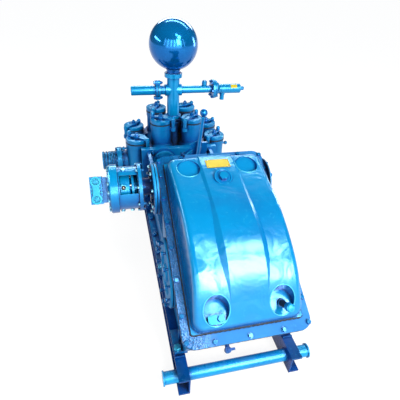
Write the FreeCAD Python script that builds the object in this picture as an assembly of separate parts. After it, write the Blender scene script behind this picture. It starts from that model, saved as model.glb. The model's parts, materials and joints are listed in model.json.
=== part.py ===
import FreeCAD, Part
import math
import os

# Duplex piston mud pump on two channel skids, driven by a hydraulic motor on its left side.
# Millimetres. +Z is up and the skids stand on Z = 0. +Y runs from the sloping crankcase cover
# toward the fluid end, and +X is the side away from the motor. The origin is the middle of
# the skids' bolt pattern, on the ground.

# Skids: two standing channels with their webs inward
SKID_LENGTH = 1960.0
SKID_HEIGHT = 100.0
SKID_WEB_X = 224.0
SKID_WEB_THICK = 5.5
SKID_FLANGE = 48.0
SKID_FLANGE_THICK = 8.5
SKID_BOLT_X = 252.0
SKID_BOLT_Y = 750.0
SKID_BOLT_R = 9.0
NEAR_END = -SKID_LENGTH / 2

# Tow tubes across the skid ends
TOW_R = 27.0
TOW_Z = 51.0
TOW_INSET = 57.0
TOW_HALF = 331.0
TOW_DISC_R = 32.0
TOW_DISC_THICK = 6.0

# Sloping joint face of the crankcase
SLOPE_DEG = 29.46
SLOPE_START = -16.0
SLOPE_Z = 324.0
RIM_HALF = 261.0
RIM_LENGTH = 851.0
RIM_CORNER = 50.0
COVER_FLANGE_THICK = 11.0
CASE_FLANGE_THICK = 15.0

# Pressed dome on the cover, as height over the joint face along the slope
DOME_HALF = 222.0
DOME_START = 50.0
DOME_END = 801.0
DOME_CORNER = 42.0
DOME_DRAFT = 16.0
DOME_CROWN = 160.0
DOME_PROFILE = [(0, 8), (60, 46), (106, 78), (173, 122), (245, 148), (345, DOME_CROWN),
                (510, 146), (623, 115), (745, 79), (851, 50)]
DOME_EDGE_R = 24.0
DOME_FOOT_HALF = 226.0
DOME_FOOT_HIGH = 9.0
RIDGE_HALF = 74.0
RIDGE_SLOPE = 34.0
RIDGE_RISE = 15.0
RECESS_R = 51.0
NEAR_RECESS = (130.0, 114.0, 49.0)
FAR_RECESS = (133.0, 724.0, 69.0)
PLUG_S = 646.0
PLATE_S = 736.0
PLATE_LONG = 106.0
PLATE_HIGH = 52.0
PLATE_THICK = 2.5

# Crankcase body
CASE_HALF = 232.0
CASE_BOTTOM = 115.0
CASE_FAR = 700.0

# Crankshaft and drive shaft, both along X, and the centre of the round covers at the drive shaft
CRANK = (388.0, 330.0)
CRANK_COVER_R = 158.0
CRANK_FACE_X = 244.0
CRANK_COVER_X = 268.0
PINION = (665.0, 624.0)
BEARING = (656.0, 612.0)
PINION_COVER_R = 120.0
CAP_FLANGE_R = 108.0
CAP_HUB_R = 74.0
PINION_FACE_X = RIM_HALF + 1.0
PINION_COVER_X = 288.0
GROOVE_WIDE = 4.0
GROOVE_DEEP = 6.0

# Drive from the left: neck, bell housing, coupling, adaptor ring, hydraulic motor
NECK_R = 40.0
BELL_FLANGE_R = 111.0
BELL_RIGHT_X = -335.0
BELL_FLANGE_THICK = 15.0
BELL_R = 99.0
BELL_WALL = 9.0
WINDOW_HEIGHT = 84.0
WINDOW_TILT = 40.0
BELL_LEFT_X = -440.0
ADAPTOR_R = 111.0
ADAPTOR_LEFT_X = -484.0
MOTOR_LEFT_X = -560.0
MOTOR_HEIGHT = 122.0
MOTOR_DEPTH = 104.0
MOTOR_TILT = 30.0
PORT_SPACING = 78.0
PORT_R = 14.0
SHAFT_R = 22.0
RUN_GAP = 0.05

# Crosshead housing and open distance frame
LINER_X = 110.0
LINER_Z = 330.0
CROSS_HALF = 190.0
CROSS_BOTTOM = 236.0
CROSS_TOP = 428.0
CROSS_END = 1180.0
BASE_HALF = 228.0
BASE_WALL = 22.0
BASE_END = 1150.0
FRAME_END = 1462.0
FRAME_HALF = 225.0
ROD_R = 19.0
GLAND_R = 85.0
GLAND_THICK = 24.0

# Gear shift lever on top of the crosshead housing, swinging across the pump
LEVER_X = 10.7
LEVER_Y = 1000.0
LEVER_PIVOT_Z = 560.0
LEVER_LEAN = 5.3
LEVER_R = 9.5
KNOB_R = 21.0
KNOB_Z = 844.0
PIVOT_R = 10.0

# Fluid end
FLUID_START = 1462.0
BARREL_R = 100.0
FLUID_END = 1922.0
FRONT_PLATE_TOP = 423.0
FRONT_PLATE_THICK = 42.0
POT_ROWS = (1602.0, 1848.0)
POT_R = 70.0
INNER_POT_TOP = 560.0
OUTER_POT_X = 283.0
OUTER_POT_TOP = 425.0
POT_WEB_TOP = 400.0
CAP_R = 74.0
YOKE_REACH = 91.0
STOP_REACH = 62.0
POST_R = 13.0
YOKE_TURNS_RIGHT = ((227.0, 205.0), (227.0, 198.0))
YOKE_TURNS_LEFT = ((210.0, 292.0), (220.0, 314.0))
PIN_TOPS = (68.0, 54.0)
EAR_DROP = 22.0
EAR_HIGH = 24.0
COCK_Z = 378.0

# Riser, air vessel and discharge
RISER_Y = 1735.0
RISER_R = 44.0
MANIFOLD_TOP = 545.0
STEM_Y = 1690.0
STEM_R = 39.0
STEM_LOW = 345.0
COLLAR_R = 61.0
COLLAR_Z = 850.0
BALL_R = 162.0
BALL_Z = 1044.0
CROSS_Z = 745.0
LEFT_ARM_R = 31.0
LEFT_JOINT_X = -110.0
DISCHARGE_R = 32.0
DISCHARGE_END_X = -295.0
RIGHT_ARM_R = 26.0
RIGHT_JOINT_X = 298.0
RIGHT_FLANGE_R = 66.0
RELIEF_FLANGE_R = 61.0
RELIEF_END_X = 495.0
SPOUT_X = 362.0
SPOUT_R = 16.0
SPOUT_DROP = 78.0
GAUGE_X = 225.0

# Suction pipe
SUCTION_R = 63.5
SUCTION_Y = 1650.0
SUCTION_Z = 268.0
SUCTION_END_X = -531.0
SUCTION_FLANGE_X = -409.0

# Drain cock on the crankcase's near wall, in slope coordinates
DRAIN_X = -86.0
DRAIN_N = -49.0


def st(distance):
    """Y of a place given by its distance from the skids' near end."""
    return NEAR_END + distance


def vec(x, y, z):
    return FreeCAD.Vector(x, y, z)


AXES = {"X": vec(1, 0, 0), "Y": vec(0, 1, 0), "Z": vec(0, 0, 1)}


def box(x0, x1, y0, y1, z0, z1):
    return Part.makeBox(x1 - x0, y1 - y0, z1 - z0, vec(x0, y0, z0))


def rod(base, direction, radius, length):
    way = AXES[direction] if isinstance(direction, str) else direction
    return Part.makeCylinder(radius, length, base, way)


def fuse(first, *others):
    return first.fuse(list(others)).removeSplitter()


def cut(first, *others):
    return first.cut(list(others)).removeSplitter()


def mirror_x(shape):
    return shape.mirror(vec(0, 0, 0), vec(1, 0, 0))


def polygon(points):
    return Part.makePolygon(points + [points[0]])


def turned(points, direction, centre):
    """Solid of revolution: points are (place along the axis, radius)."""
    wire = polygon([vec(radius, 0, along) for along, radius in points])
    solid = Part.Face(wire).revolve(vec(0, 0, 0), vec(0, 0, 1), 360)
    if direction == "X":
        solid.rotate(vec(0, 0, 0), vec(0, 1, 0), 90)
    if direction == "Y":
        solid.rotate(vec(0, 0, 0), vec(1, 0, 0), -90)
    solid.translate(centre)
    return solid


def rounded_rect(half_x, y0, y1, z, corner):
    """Closed wire of a rectangle with round corners, at height z."""
    k = corner * math.sqrt(0.5)
    parts = []
    corners = [(half_x, y1), (-half_x, y1), (-half_x, y0), (half_x, y0)]
    signs = [(1, 1), (-1, 1), (-1, -1), (1, -1)]
    ends = []
    for (x, y), (sx, sy) in zip(corners, signs):
        cx = x - sx * corner
        cy = y - sy * corner
        on_x = vec(cx, cy + sy * corner, z)
        on_y = vec(cx + sx * corner, cy, z)
        mid = vec(cx + sx * k, cy + sy * k, z)
        first, last = (on_y, on_x) if sx * sy > 0 else (on_x, on_y)
        ends.append((first, mid, last))
    for index, (first, mid, last) in enumerate(ends):
        parts.append(Part.Arc(first, mid, last).toShape())
        parts.append(Part.makeLine(last, ends[(index + 1) % 4][0]))
    return Part.Wire(parts)


def hexagon(across_flats, height, base, direction="Z"):
    radius = across_flats / math.sqrt(3)
    points = [vec(radius * math.cos(math.radians(60 * k)), radius * math.sin(math.radians(60 * k)), 0)
              for k in range(6)]
    solid = Part.Face(polygon(points)).extrude(vec(0, 0, height))
    if direction == "X":
        solid.rotate(vec(0, 0, 0), vec(0, 1, 0), 90)
    if direction == "Y":
        solid.rotate(vec(0, 0, 0), vec(1, 0, 0), -90)
    solid.translate(base)
    return solid


def on_slope(shape):
    """Carry a shape from slope coordinates (X, along the slope, over the joint face)."""
    out = shape.copy()
    out.rotate(vec(0, 0, 0), vec(1, 0, 0), SLOPE_DEG)
    out.translate(vec(0, st(SLOPE_START), SLOPE_Z))
    return out


def slope_point(along, over):
    """(Y, Z) of a point given along the slope and over the joint face."""
    a = math.radians(SLOPE_DEG)
    y = st(SLOPE_START) + along * math.cos(a) - over * math.sin(a)
    return y, SLOPE_Z + along * math.sin(a) + over * math.cos(a)


def skid():
    """Right skid: channel with its web inward, tow tube holes and mounting holes."""
    x0 = SKID_WEB_X
    x1 = SKID_WEB_X + SKID_FLANGE
    y0 = NEAR_END
    y1 = -NEAR_END
    web = box(x0, x0 + SKID_WEB_THICK, y0, y1, 0, SKID_HEIGHT)
    low = box(x0, x1, y0, y1, 0, SKID_FLANGE_THICK)
    high = box(x0, x1, y0, y1, SKID_HEIGHT - SKID_FLANGE_THICK, SKID_HEIGHT)
    shape = fuse(web, low, high)
    for y in (y0 + TOW_INSET, y1 - TOW_INSET):
        shape = cut(shape, rod(vec(x0 - 1, y, TOW_Z), "X", TOW_R, SKID_WEB_THICK + 2))
    for y in (-SKID_BOLT_Y, SKID_BOLT_Y):
        shape = cut(shape, rod(vec(SKID_BOLT_X, y, -1), "Z", SKID_BOLT_R, SKID_FLANGE_THICK + 2))
    return shape


def tow_tube(y):
    """Tow tube with a disc at each end that keeps a sling on."""
    end = TOW_HALF
    disc = TOW_DISC_THICK
    points = [(-end, 0), (-end, TOW_DISC_R), (disc - end, TOW_DISC_R), (disc - end, TOW_R),
              (end - disc, TOW_R), (end - disc, TOW_DISC_R), (end, TOW_DISC_R), (end, 0)]
    return turned(points, "X", vec(0, y, TOW_Z))


def case_outline():
    """Side outline of the crankcase under its flange, as a closed wire at X = 0."""
    under = -COVER_FLANGE_THICK - CASE_FLANGE_THICK
    near_top = slope_point(16, under)
    near_low_y = near_top[0] + (near_top[1] - CASE_BOTTOM) * math.tan(math.radians(SLOPE_DEG))
    far_top = slope_point(RIM_LENGTH - 14, under)
    a = math.radians(SLOPE_DEG)
    reach = PINION_COVER_R - 2
    centre_y = st(BEARING[0])
    belly = (centre_y + reach * math.cos(a), BEARING[1] + reach * math.sin(a))
    turn = (centre_y + reach * math.cos(a - 1.1), BEARING[1] + reach * math.sin(a - 1.1))
    chin_y = st(CASE_FAR)
    chin_z = BEARING[1] - math.sqrt(reach ** 2 - (chin_y - centre_y) ** 2)
    points = [near_top, (near_low_y, CASE_BOTTOM), (chin_y, CASE_BOTTOM), (chin_y, chin_z)]
    edges = [Part.makeLine(vec(0, *points[i]), vec(0, *points[i + 1])) for i in range(3)]
    edges.append(Part.Arc(vec(0, chin_y, chin_z), vec(0, *turn), vec(0, *belly)).toShape())
    edges.append(Part.makeLine(vec(0, *belly), vec(0, *far_top)))
    edges.append(Part.makeLine(vec(0, *far_top), vec(0, *near_top)))
    return Part.Wire(edges), near_low_y


def crankcase():
    """Casting with its joint flange, bearing bosses, feet and ribs."""
    wire, near_low_y = case_outline()
    body = Part.Face(wire).extrude(vec(2 * CASE_HALF, 0, 0))
    body.translate(vec(-CASE_HALF, 0, 0))
    flange = Part.Face(rounded_rect(RIM_HALF, 0, RIM_LENGTH, -COVER_FLANGE_THICK, RIM_CORNER))
    flange = on_slope(flange.extrude(vec(0, 0, -CASE_FLANGE_THICK)))
    above = on_slope(box(-400, 400, -200, 1200, -COVER_FLANGE_THICK, 400))
    pieces = [flange]
    for side in (-1, 1):
        out = vec(side, 0, 0)
        crank_at = vec(side * CASE_HALF, st(CRANK[0]), CRANK[1])
        pieces.append(rod(crank_at, out, CRANK_COVER_R - 4, CRANK_FACE_X - CASE_HALF))
        pinion_at = vec(side * CASE_HALF, st(BEARING[0]), BEARING[1])
        radius = PINION_COVER_R - 4 if side < 0 else CAP_FLANGE_R
        boss = rod(pinion_at, out, radius, PINION_FACE_X - CASE_HALF)
        pieces.append(boss.cut(above))
        for y0 in (near_low_y + 2, st(CASE_FAR) - 118):
            x0, x1 = sorted((side * (CASE_HALF - 20), side * (SKID_WEB_X + SKID_FLANGE - 4)))
            pieces.append(box(x0, x1, y0, y0 + 116, SKID_HEIGHT, SKID_HEIGHT + 16))
            x0, x1 = sorted((side * (CASE_HALF - 10), side * (CASE_HALF + 11)))
            pieces.append(box(x0, x1, y0 + 50, y0 + 64, SKID_HEIGHT + 10, SKID_HEIGHT + 92))
    return fuse(body, *pieces)


def dome_height(along):
    """Height of the dome's side zones over the joint face, read off the same curve."""
    curve = dome_curve(0)
    line = Part.makeLine(vec(0, along, -50), vec(0, along, 400))
    hit = curve.distToShape(line)
    return hit[1][0][0].z


def dome_curve(x):
    spline = Part.BSplineCurve()
    spline.interpolate([vec(x, s, n) for s, n in DOME_PROFILE])
    return spline.toShape()


def dome_body():
    """The dome without its ridge: a curved roof cut to a drafted pan, with round edges."""
    roof = dome_curve(-300)
    s0, n0 = DOME_PROFILE[0]
    s1, n1 = DOME_PROFILE[-1]
    side = Part.Wire([roof, Part.makeLine(vec(-300, s1, n1), vec(-300, s1, -6)),
                      Part.makeLine(vec(-300, s1, -6), vec(-300, s0, -6)),
                      Part.makeLine(vec(-300, s0, -6), vec(-300, s0, n0))])
    under_roof = Part.Face(side).extrude(vec(600, 0, 0))
    low = rounded_rect(DOME_HALF + 1, DOME_START - 1, DOME_END + 1, -6, DOME_CORNER)
    inset = DOME_DRAFT * 200 / DOME_CROWN
    high = rounded_rect(DOME_HALF - inset, DOME_START + inset, DOME_END - inset, 200, DOME_CORNER)
    pan = Part.makeLoft([low, high], True, True)
    body = pan.common(under_roof)
    rim = []
    for edge in body.Edges:
        centre = edge.BoundBox.Center
        if edge.BoundBox.ZMin > 5 and edge.Length > 20:
            low_ends = [v.Point.z for v in edge.Vertexes]
            if len(low_ends) == 2 and min(low_ends) > 5:
                rim.append(edge)
    return body, rim


def dome_ridge():
    """Raised middle of the dome: trapezoid sections lofted along the slope."""
    sections = []
    for along, rise in ((70, -8), (150, 2), (260, RIDGE_RISE), (420, RIDGE_RISE), (600, 9), (796, 2)):
        top = dome_height(along) + rise
        foot = top - RIDGE_RISE - 12
        inner = RIDGE_HALF
        outer = RIDGE_HALF + RIDGE_SLOPE * (RIDGE_RISE + 12) / RIDGE_RISE * 0.6
        points = [vec(-outer, along, foot), vec(-inner, along, top), vec(inner, along, top),
                  vec(outer, along, foot)]
        sections.append(polygon(points))
    return Part.makeLoft(sections, True, False)


def cover_on_joint_face():
    """Cover in slope coordinates: flange, dome, ridge, four sunk seats and a plug boss."""
    flange = Part.Face(rounded_rect(RIM_HALF, 0, RIM_LENGTH, 0, RIM_CORNER))
    flange = flange.extrude(vec(0, 0, -COVER_FLANGE_THICK))
    body, rim = dome_body()
    body = body.makeFillet(DOME_EDGE_R, rim)
    shape = body.fuse([dome_ridge()])
    for x, s, floor in (NEAR_RECESS, FAR_RECESS):
        for side in (-1, 1):
            shape = shape.cut(rod(vec(side * x, s, floor), "Z", RECESS_R, 200))
    boss = turned([(60, 0), (60, 39), (128, 39), (128, 34), (124, 30), (124, 0)], "Z", vec(0, PLUG_S, 0))
    foot = Part.Face(rounded_rect(DOME_FOOT_HALF, DOME_START, DOME_END + 3, 0, 9))
    foot = foot.extrude(vec(0, 0, DOME_FOOT_HIGH))
    shape = shape.fuse([flange, foot, boss])
    return shape.removeSplitter()


def crankcase_cover():
    return on_slope(cover_on_joint_face())


def cover_plug():
    return on_slope(hexagon(34, 16, vec(0, PLUG_S, 124)))


def tilted(shape, centre, degrees):
    """Lean a shape that stands on the cover toward its near end."""
    shape.rotate(centre, vec(1, 0, 0), degrees)
    return shape


def breather_cap():
    x, s, floor = NEAR_RECESS
    base = vec(x + 6, s - 4, floor)
    neck = turned([(0, 0), (0, 17), (8, 17), (8, 11), (62, 11), (62, 16), (84, 16), (88, 12), (88, 0)],
                  "Z", base)
    neck = tilted(neck, base, 26)
    keep = Part.makeBox(400, 400, 300, vec(-60, s - 200, floor))
    return on_slope(neck.common(keep))


def cover_hold_down():
    x, s, floor = NEAR_RECESS
    block = rounded_rect(32, s - 46, s - 11, floor, 7)
    block = Part.Face(block).extrude(vec(0, 0, 16))
    block.translate(vec(-x - 2, 0, 0))
    block = block.common(rod(vec(-x, s, floor), "Z", RECESS_R, 40))
    bolt = hexagon(21, 10, vec(-x + 13, s - 29, floor + 16))
    return on_slope(fuse(block, bolt))


def name_plate():
    """Bare plate that follows the far end of the dome."""
    cover = cover_on_joint_face()
    raised = cover.copy()
    raised.translate(vec(0, 0, PLATE_THICK))
    patch = box(-PLATE_LONG / 2, PLATE_LONG / 2, PLATE_S - PLATE_HIGH / 2, PLATE_S + PLATE_HIGH / 2, 30, 200)
    return on_slope(patch.common(raised).cut(cover))


def grooved_rim(start, radius, along):
    """Outline of a disc's rim with a narrow groove, as (x, radius) points from its seat."""
    low = radius - GROOVE_DEEP
    return [(start, 0), (start, radius), (start + along, radius), (start + along, low),
            (start + along + GROOVE_WIDE, low), (start + along + GROOVE_WIDE, radius)]


def crank_cover(side):
    """Crank bearing cover: grooved disc with a low dished middle."""
    outer = CRANK_COVER_X
    points = grooved_rim(CRANK_FACE_X, CRANK_COVER_R, 9)
    points += [(outer - 5, CRANK_COVER_R), (outer, CRANK_COVER_R - 5), (outer, 104), (outer - 9, 96),
               (outer - 9, 46), (outer + 4, 38), (outer + 4, 0)]
    shape = turned(points, "X", vec(0, st(CRANK[0]), CRANK[1]))
    return shape if side > 0 else mirror_x(shape)


def pinion_cover_left():
    """Grooved ring that carries the drive neck."""
    outer = PINION_COVER_X
    points = grooved_rim(PINION_FACE_X, PINION_COVER_R, 11)
    points += [(outer - 4, PINION_COVER_R), (outer, PINION_COVER_R - 4), (outer, 86), (outer - 12, 78),
               (outer - 12, 0)]
    shape = turned(points, "X", vec(0, st(BEARING[0]), BEARING[1]))
    return mirror_x(shape)


def pinion_cover_right():
    """Thin cover with a closed hub over the end of the drive shaft."""
    boss = PINION_FACE_X
    outer = PINION_COVER_X - 2
    points = [(boss, 0), (boss, CAP_FLANGE_R), (boss + 6, CAP_FLANGE_R), (boss + 6, CAP_HUB_R),
              (outer - 4, CAP_HUB_R), (outer, CAP_HUB_R - 4), (outer, 0)]
    return turned(points, "X", vec(0, st(BEARING[0]), BEARING[1]))


def drive_neck():
    """Turned neck between the crankcase and the bell housing."""
    inner = -PINION_COVER_X + 12
    points = [(inner, 0), (inner, 60), (inner - 14, 60), (inner - 14, NECK_R), (BELL_RIGHT_X, NECK_R),
              (BELL_RIGHT_X, 0)]
    shape = turned(points, "X", vec(0, st(PINION[0]), PINION[1]))
    return cut(shape, rod(vec(BELL_RIGHT_X - 1, st(PINION[0]), PINION[1]), "X", SHAFT_R + RUN_GAP, 31))


def bell_housing():
    """Hollow housing with a window on its near upper side."""
    centre = vec(0, st(PINION[0]), PINION[1])
    x0 = BELL_LEFT_X
    x1 = BELL_RIGHT_X
    xf = x1 - BELL_FLANGE_THICK
    inner = BELL_R - BELL_WALL
    points = [(x1, SHAFT_R + 9), (x1, BELL_FLANGE_R), (xf, BELL_FLANGE_R), (xf, BELL_R), (x0, BELL_R),
              (x0, inner), (xf, inner), (xf, SHAFT_R + 9)]
    shell = turned(points, "X", centre)
    half = WINDOW_HEIGHT / 2
    window = box(x0 + 8, xf - 4, -BELL_R - 20, -20, -half, half)
    window.rotate(vec(0, 0, 0), vec(1, 0, 0), -WINDOW_TILT)
    window.translate(centre)
    return cut(shell, window)


def drive_coupling():
    """Two flanged halves of the coupling on their shafts."""
    x0 = BELL_LEFT_X
    x1 = BELL_RIGHT_X
    points = [(x0 - 24, 0), (x0 - 24, SHAFT_R), (x0 + 8, SHAFT_R), (x0 + 8, 70), (x0 + 12, 74),
              (x0 + 48, 74), (x0 + 52, 70), (x0 + 52, 42), (x0 + 60, 42), (x0 + 60, 72), (x0 + 70, 72),
              (x0 + 70, 46), (x1 - 22, 46), (x1 - 22, SHAFT_R), (x1 + 24, SHAFT_R), (x1 + 24, 0)]
    return turned(points, "X", vec(0, st(PINION[0]), PINION[1]))


def motor_adaptor():
    x0 = ADAPTOR_LEFT_X
    x1 = BELL_LEFT_X
    points = [(x1, 0), (x1, ADAPTOR_R), (x0 + 12, ADAPTOR_R), (x0 + 7, ADAPTOR_R - 4), (x0 + 7, 86),
              (x0, 80), (x0, 0)]
    shape = turned(points, "X", vec(0, st(PINION[0]), PINION[1]))
    return cut(shape, rod(vec(x1 - 30, st(PINION[0]), PINION[1]), "X", SHAFT_R + RUN_GAP, 34))


def at_motor(shape):
    """Turn a motor piece to its tilt about the drive axis and carry it there."""
    shape.rotate(vec(0, 0, 0), vec(1, 0, 0), -MOTOR_TILT)
    shape.translate(vec(0, st(PINION[0]), PINION[1]))
    return shape


def hydraulic_motor():
    """Low-speed motor: square flange and a body with round corners."""
    half = MOTOR_HEIGHT / 2
    deep = MOTOR_DEPTH / 2
    x0 = MOTOR_LEFT_X
    mid = ADAPTOR_LEFT_X - 24
    flange = box(mid, ADAPTOR_LEFT_X, -deep + 4, deep, -half + 4, half - 4)
    body = box(x0, mid, -deep + 16, deep, -half, half)
    edges = [e for e in body.Edges if abs(e.tangentAt(e.FirstParameter).x) > 0.9 and e.BoundBox.YMin > 0]
    body = body.makeFillet(14, edges)
    return at_motor(fuse(flange, body))


def motor_port_block():
    """Port face toward the near end: two round pads joined by a web, with two open ports."""
    half = MOTOR_HEIGHT / 2
    deep = MOTOR_DEPTH / 2
    mid = (MOTOR_LEFT_X + ADAPTOR_LEFT_X - 24) / 2
    shape = box(MOTOR_LEFT_X, ADAPTOR_LEFT_X - 24, -deep, -deep + 16, -half, half)
    pads = [box(mid - 15, mid + 15, -deep - 7, -deep, -PORT_SPACING / 2, PORT_SPACING / 2)]
    ports = []
    for dz in (-PORT_SPACING / 2, PORT_SPACING / 2):
        pads.append(rod(vec(mid, -deep, dz), vec(0, -1, 0), 23, 7))
        ports.append(rod(vec(mid, -deep - 8, dz), "Y", PORT_R, 20))
    return at_motor(cut(fuse(shape, *pads), *ports))


def crosshead_housing():
    """Housing of the two crossheads with end flange and top inspection pads."""
    body = box(-CROSS_HALF, CROSS_HALF, st(CASE_FAR), st(CROSS_END), CROSS_BOTTOM, CROSS_TOP)
    edges = [e for e in body.Edges if abs(e.tangentAt(e.FirstParameter).y) > 0.9]
    body = body.makeFillet(24, edges)
    y1 = st(CROSS_END)
    pieces = [box(-FRAME_HALF, FRAME_HALF, y1 - 22, y1, CROSS_BOTTOM - 8, CROSS_TOP + 8)]
    for side in (-1, 1):
        pad = box(-50, 50, -86, 86, 0, 12)
        pad.translate(vec(side * 120, st(940), CROSS_TOP))
        pieces.append(pad)
    pieces.append(box(-8, 8, st(CASE_FAR), st(LEVER_Y) - 54, CROSS_TOP, CROSS_TOP + 34))
    return fuse(body, *pieces)


def crosshead_feet():
    """Two folded walls that carry the sides of the crosshead housing on the skids."""
    feet = []
    y0 = st(CASE_FAR) + 2
    y1 = st(BASE_END)
    flat = CROSS_HALF - 40
    for side in (-1, 1):
        xa, xb = sorted((side * (BASE_HALF - BASE_WALL), side * BASE_HALF))
        wall = box(xa, xb, y0, y1, SKID_HEIGHT, CROSS_BOTTOM)
        xa, xb = sorted((side * flat, side * BASE_HALF))
        ledge = box(xa, xb, y0, y1, CROSS_BOTTOM - 14, CROSS_BOTTOM)
        xa, xb = sorted((side * (BASE_HALF - BASE_WALL), side * (SKID_WEB_X + SKID_FLANGE - 6)))
        sole = box(xa, xb, y0, y1, SKID_HEIGHT, SKID_HEIGHT + 14)
        feet.append(fuse(wall, ledge, sole))
    return Part.makeCompound(feet)


def frame_side(side):
    """Side plate of the open distance frame, on its skid."""
    x0, x1 = sorted((side * (FRAME_HALF - 22), side * FRAME_HALF))
    plate = box(x0, x1, st(CROSS_END), st(FRAME_END), CROSS_BOTTOM - 8, CROSS_TOP - 20)
    hole = box(x0 - 1, x1 + 1, st(CROSS_END) + 60, st(FRAME_END) - 60, LINER_Z - 45, LINER_Z + 45)
    edges = [e for e in hole.Edges if abs(e.tangentAt(e.FirstParameter).x) > 0.9]
    return cut(plate, hole.makeFillet(30, edges))


def frame_floor():
    """Tray under the rods."""
    z = CROSS_BOTTOM - 8
    return box(-FRAME_HALF, FRAME_HALF, st(CROSS_END) - 22, st(FRAME_END), z - 14, z)


def frame_feet():
    """Angle feet that carry the tray on the two skids."""
    feet = []
    y0 = st(CROSS_END) + 20
    y1 = st(FRAME_END) - 60
    for side in (-1, 1):
        xa, xb = sorted((side * 176, side * (SKID_WEB_X + SKID_FLANGE - 6)))
        sole = box(xa, xb, y0, y1, SKID_HEIGHT, SKID_HEIGHT + 14)
        xa, xb = sorted((side * 176, side * 194))
        wall = box(xa, xb, y0, y1, SKID_HEIGHT + 14, CROSS_BOTTOM - 22)
        feet.append(fuse(sole, wall))
    return Part.makeCompound(feet)


def piston_rods():
    rods = []
    for side in (-1, 1):
        points = [(st(CROSS_END), 0), (st(CROSS_END), 34), (st(CROSS_END) + 16, 34), (st(CROSS_END) + 16, ROD_R),
                  (st(CROSS_END) + 90, ROD_R), (st(CROSS_END) + 90, 27), (st(CROSS_END) + 132, 27),
                  (st(CROSS_END) + 132, ROD_R), (st(FRAME_END) - GLAND_THICK - 34, ROD_R),
                  (st(FRAME_END) - GLAND_THICK - 34, 0)]
        rods.append(turned(points, "Y", vec(side * LINER_X, 0, LINER_Z)))
    return Part.makeCompound(rods)


def gland_flanges():
    """Oval-bossed gland flanges that the rods enter."""
    glands = []
    y1 = st(FRAME_END)
    for side in (-1, 1):
        points = [(y1, 0), (y1, GLAND_R), (y1 - GLAND_THICK + 4, GLAND_R), (y1 - GLAND_THICK, GLAND_R - 4),
                  (y1 - GLAND_THICK, 44), (y1 - GLAND_THICK - 30, 38), (y1 - GLAND_THICK - 34, 34),
                  (y1 - GLAND_THICK - 34, 0)]
        glands.append(turned(points, "Y", vec(side * LINER_X, 0, LINER_Z)))
    return Part.makeCompound(glands)


def shift_bracket():
    """Upright with a fork that holds the lever's pivot pin."""
    x = LEVER_X
    y = st(LEVER_Y)
    base = box(x - 44, x + 44, y - 48, y + 48, CROSS_TOP, CROSS_TOP + 14)
    post = box(x - 24, x + 24, y - 32, y + 32, CROSS_TOP + 14, LEVER_PIVOT_Z - 26)
    parts = [post]
    for side in (-1, 1):
        ya, yb = sorted((y + side * 14, y + side * 32))
        parts.append(box(x - 24, x + 24, ya, yb, LEVER_PIVOT_Z - 26, LEVER_PIVOT_Z))
        parts.append(rod(vec(x, ya, LEVER_PIVOT_Z), "Y", 24, yb - ya))
    parts.append(rod(vec(x, y - 37, LEVER_PIVOT_Z), "Y", PIVOT_R, 74))
    low = LEVER_PIVOT_Z - 60
    gate = [(-24, low), (-24, 585), (-18, 618), (-37, 648), (13, 668), (3, 622), (10, 600), (24, 600),
            (32, 617), (32, 657), (64, 657), (64, 612), (24, low)]
    plate = Part.Face(polygon([vec(x + dx, 0, z) for dx, z in gate])).extrude(vec(0, 12, 0))
    plate.translate(vec(0, y + 32, 0))
    parts.append(plate)
    return fuse(base, *parts)


def lever_shank():
    length = KNOB_Z - KNOB_R + 6 - LEVER_PIVOT_Z
    return Part.makeCone(LEVER_R + 1, LEVER_R - 0.5, length, vec(0, 0, 0), vec(0, 0, 1))


def lean_lever(shape):
    """Carry a piece of the lever from its pivot to its place, leaning to the right."""
    shape.rotate(vec(0, 0, 0), vec(0, 1, 0), LEVER_LEAN)
    shape.translate(vec(LEVER_X, st(LEVER_Y), LEVER_PIVOT_Z))
    return shape


def shift_lever():
    """Tapered lever on a round eye that turns on the pin."""
    eye = rod(vec(0, -9, 0), "Y", 20, 18)
    shape = cut(fuse(eye, lever_shank()), rod(vec(0, -20, 0), "Y", PIVOT_R + RUN_GAP, 40))
    return lean_lever(shape)


def lever_knob():
    ball = Part.makeSphere(KNOB_R, vec(0, 0, KNOB_Z - LEVER_PIVOT_Z))
    return lean_lever(cut(ball, lever_shank()))


def pot_ear(x, y, top, degrees):
    """Ear on a pot that carries the post of its clamp."""
    ear = rod(vec(YOKE_REACH, 0, -EAR_DROP - EAR_HIGH), "Z", 19, EAR_HIGH)
    web = box(0, YOKE_REACH, -13, 13, -EAR_DROP - EAR_HIGH + 8, -EAR_DROP)
    shape = fuse(web, ear)
    shape.rotate(vec(0, 0, 0), vec(0, 0, 1), degrees)
    shape.translate(vec(x, y, top))
    return shape


def pots(turns):
    """Place of each valve pot of a casting, seen as the right one: (X, Y, top, turn of its yoke)."""
    places = []
    for column, (x, top) in enumerate(((LINER_X, INNER_POT_TOP), (OUTER_POT_X, OUTER_POT_TOP))):
        for row, turn in zip(POT_ROWS, turns[column]):
            places.append((x, st(row), top, turn))
    return places


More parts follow.
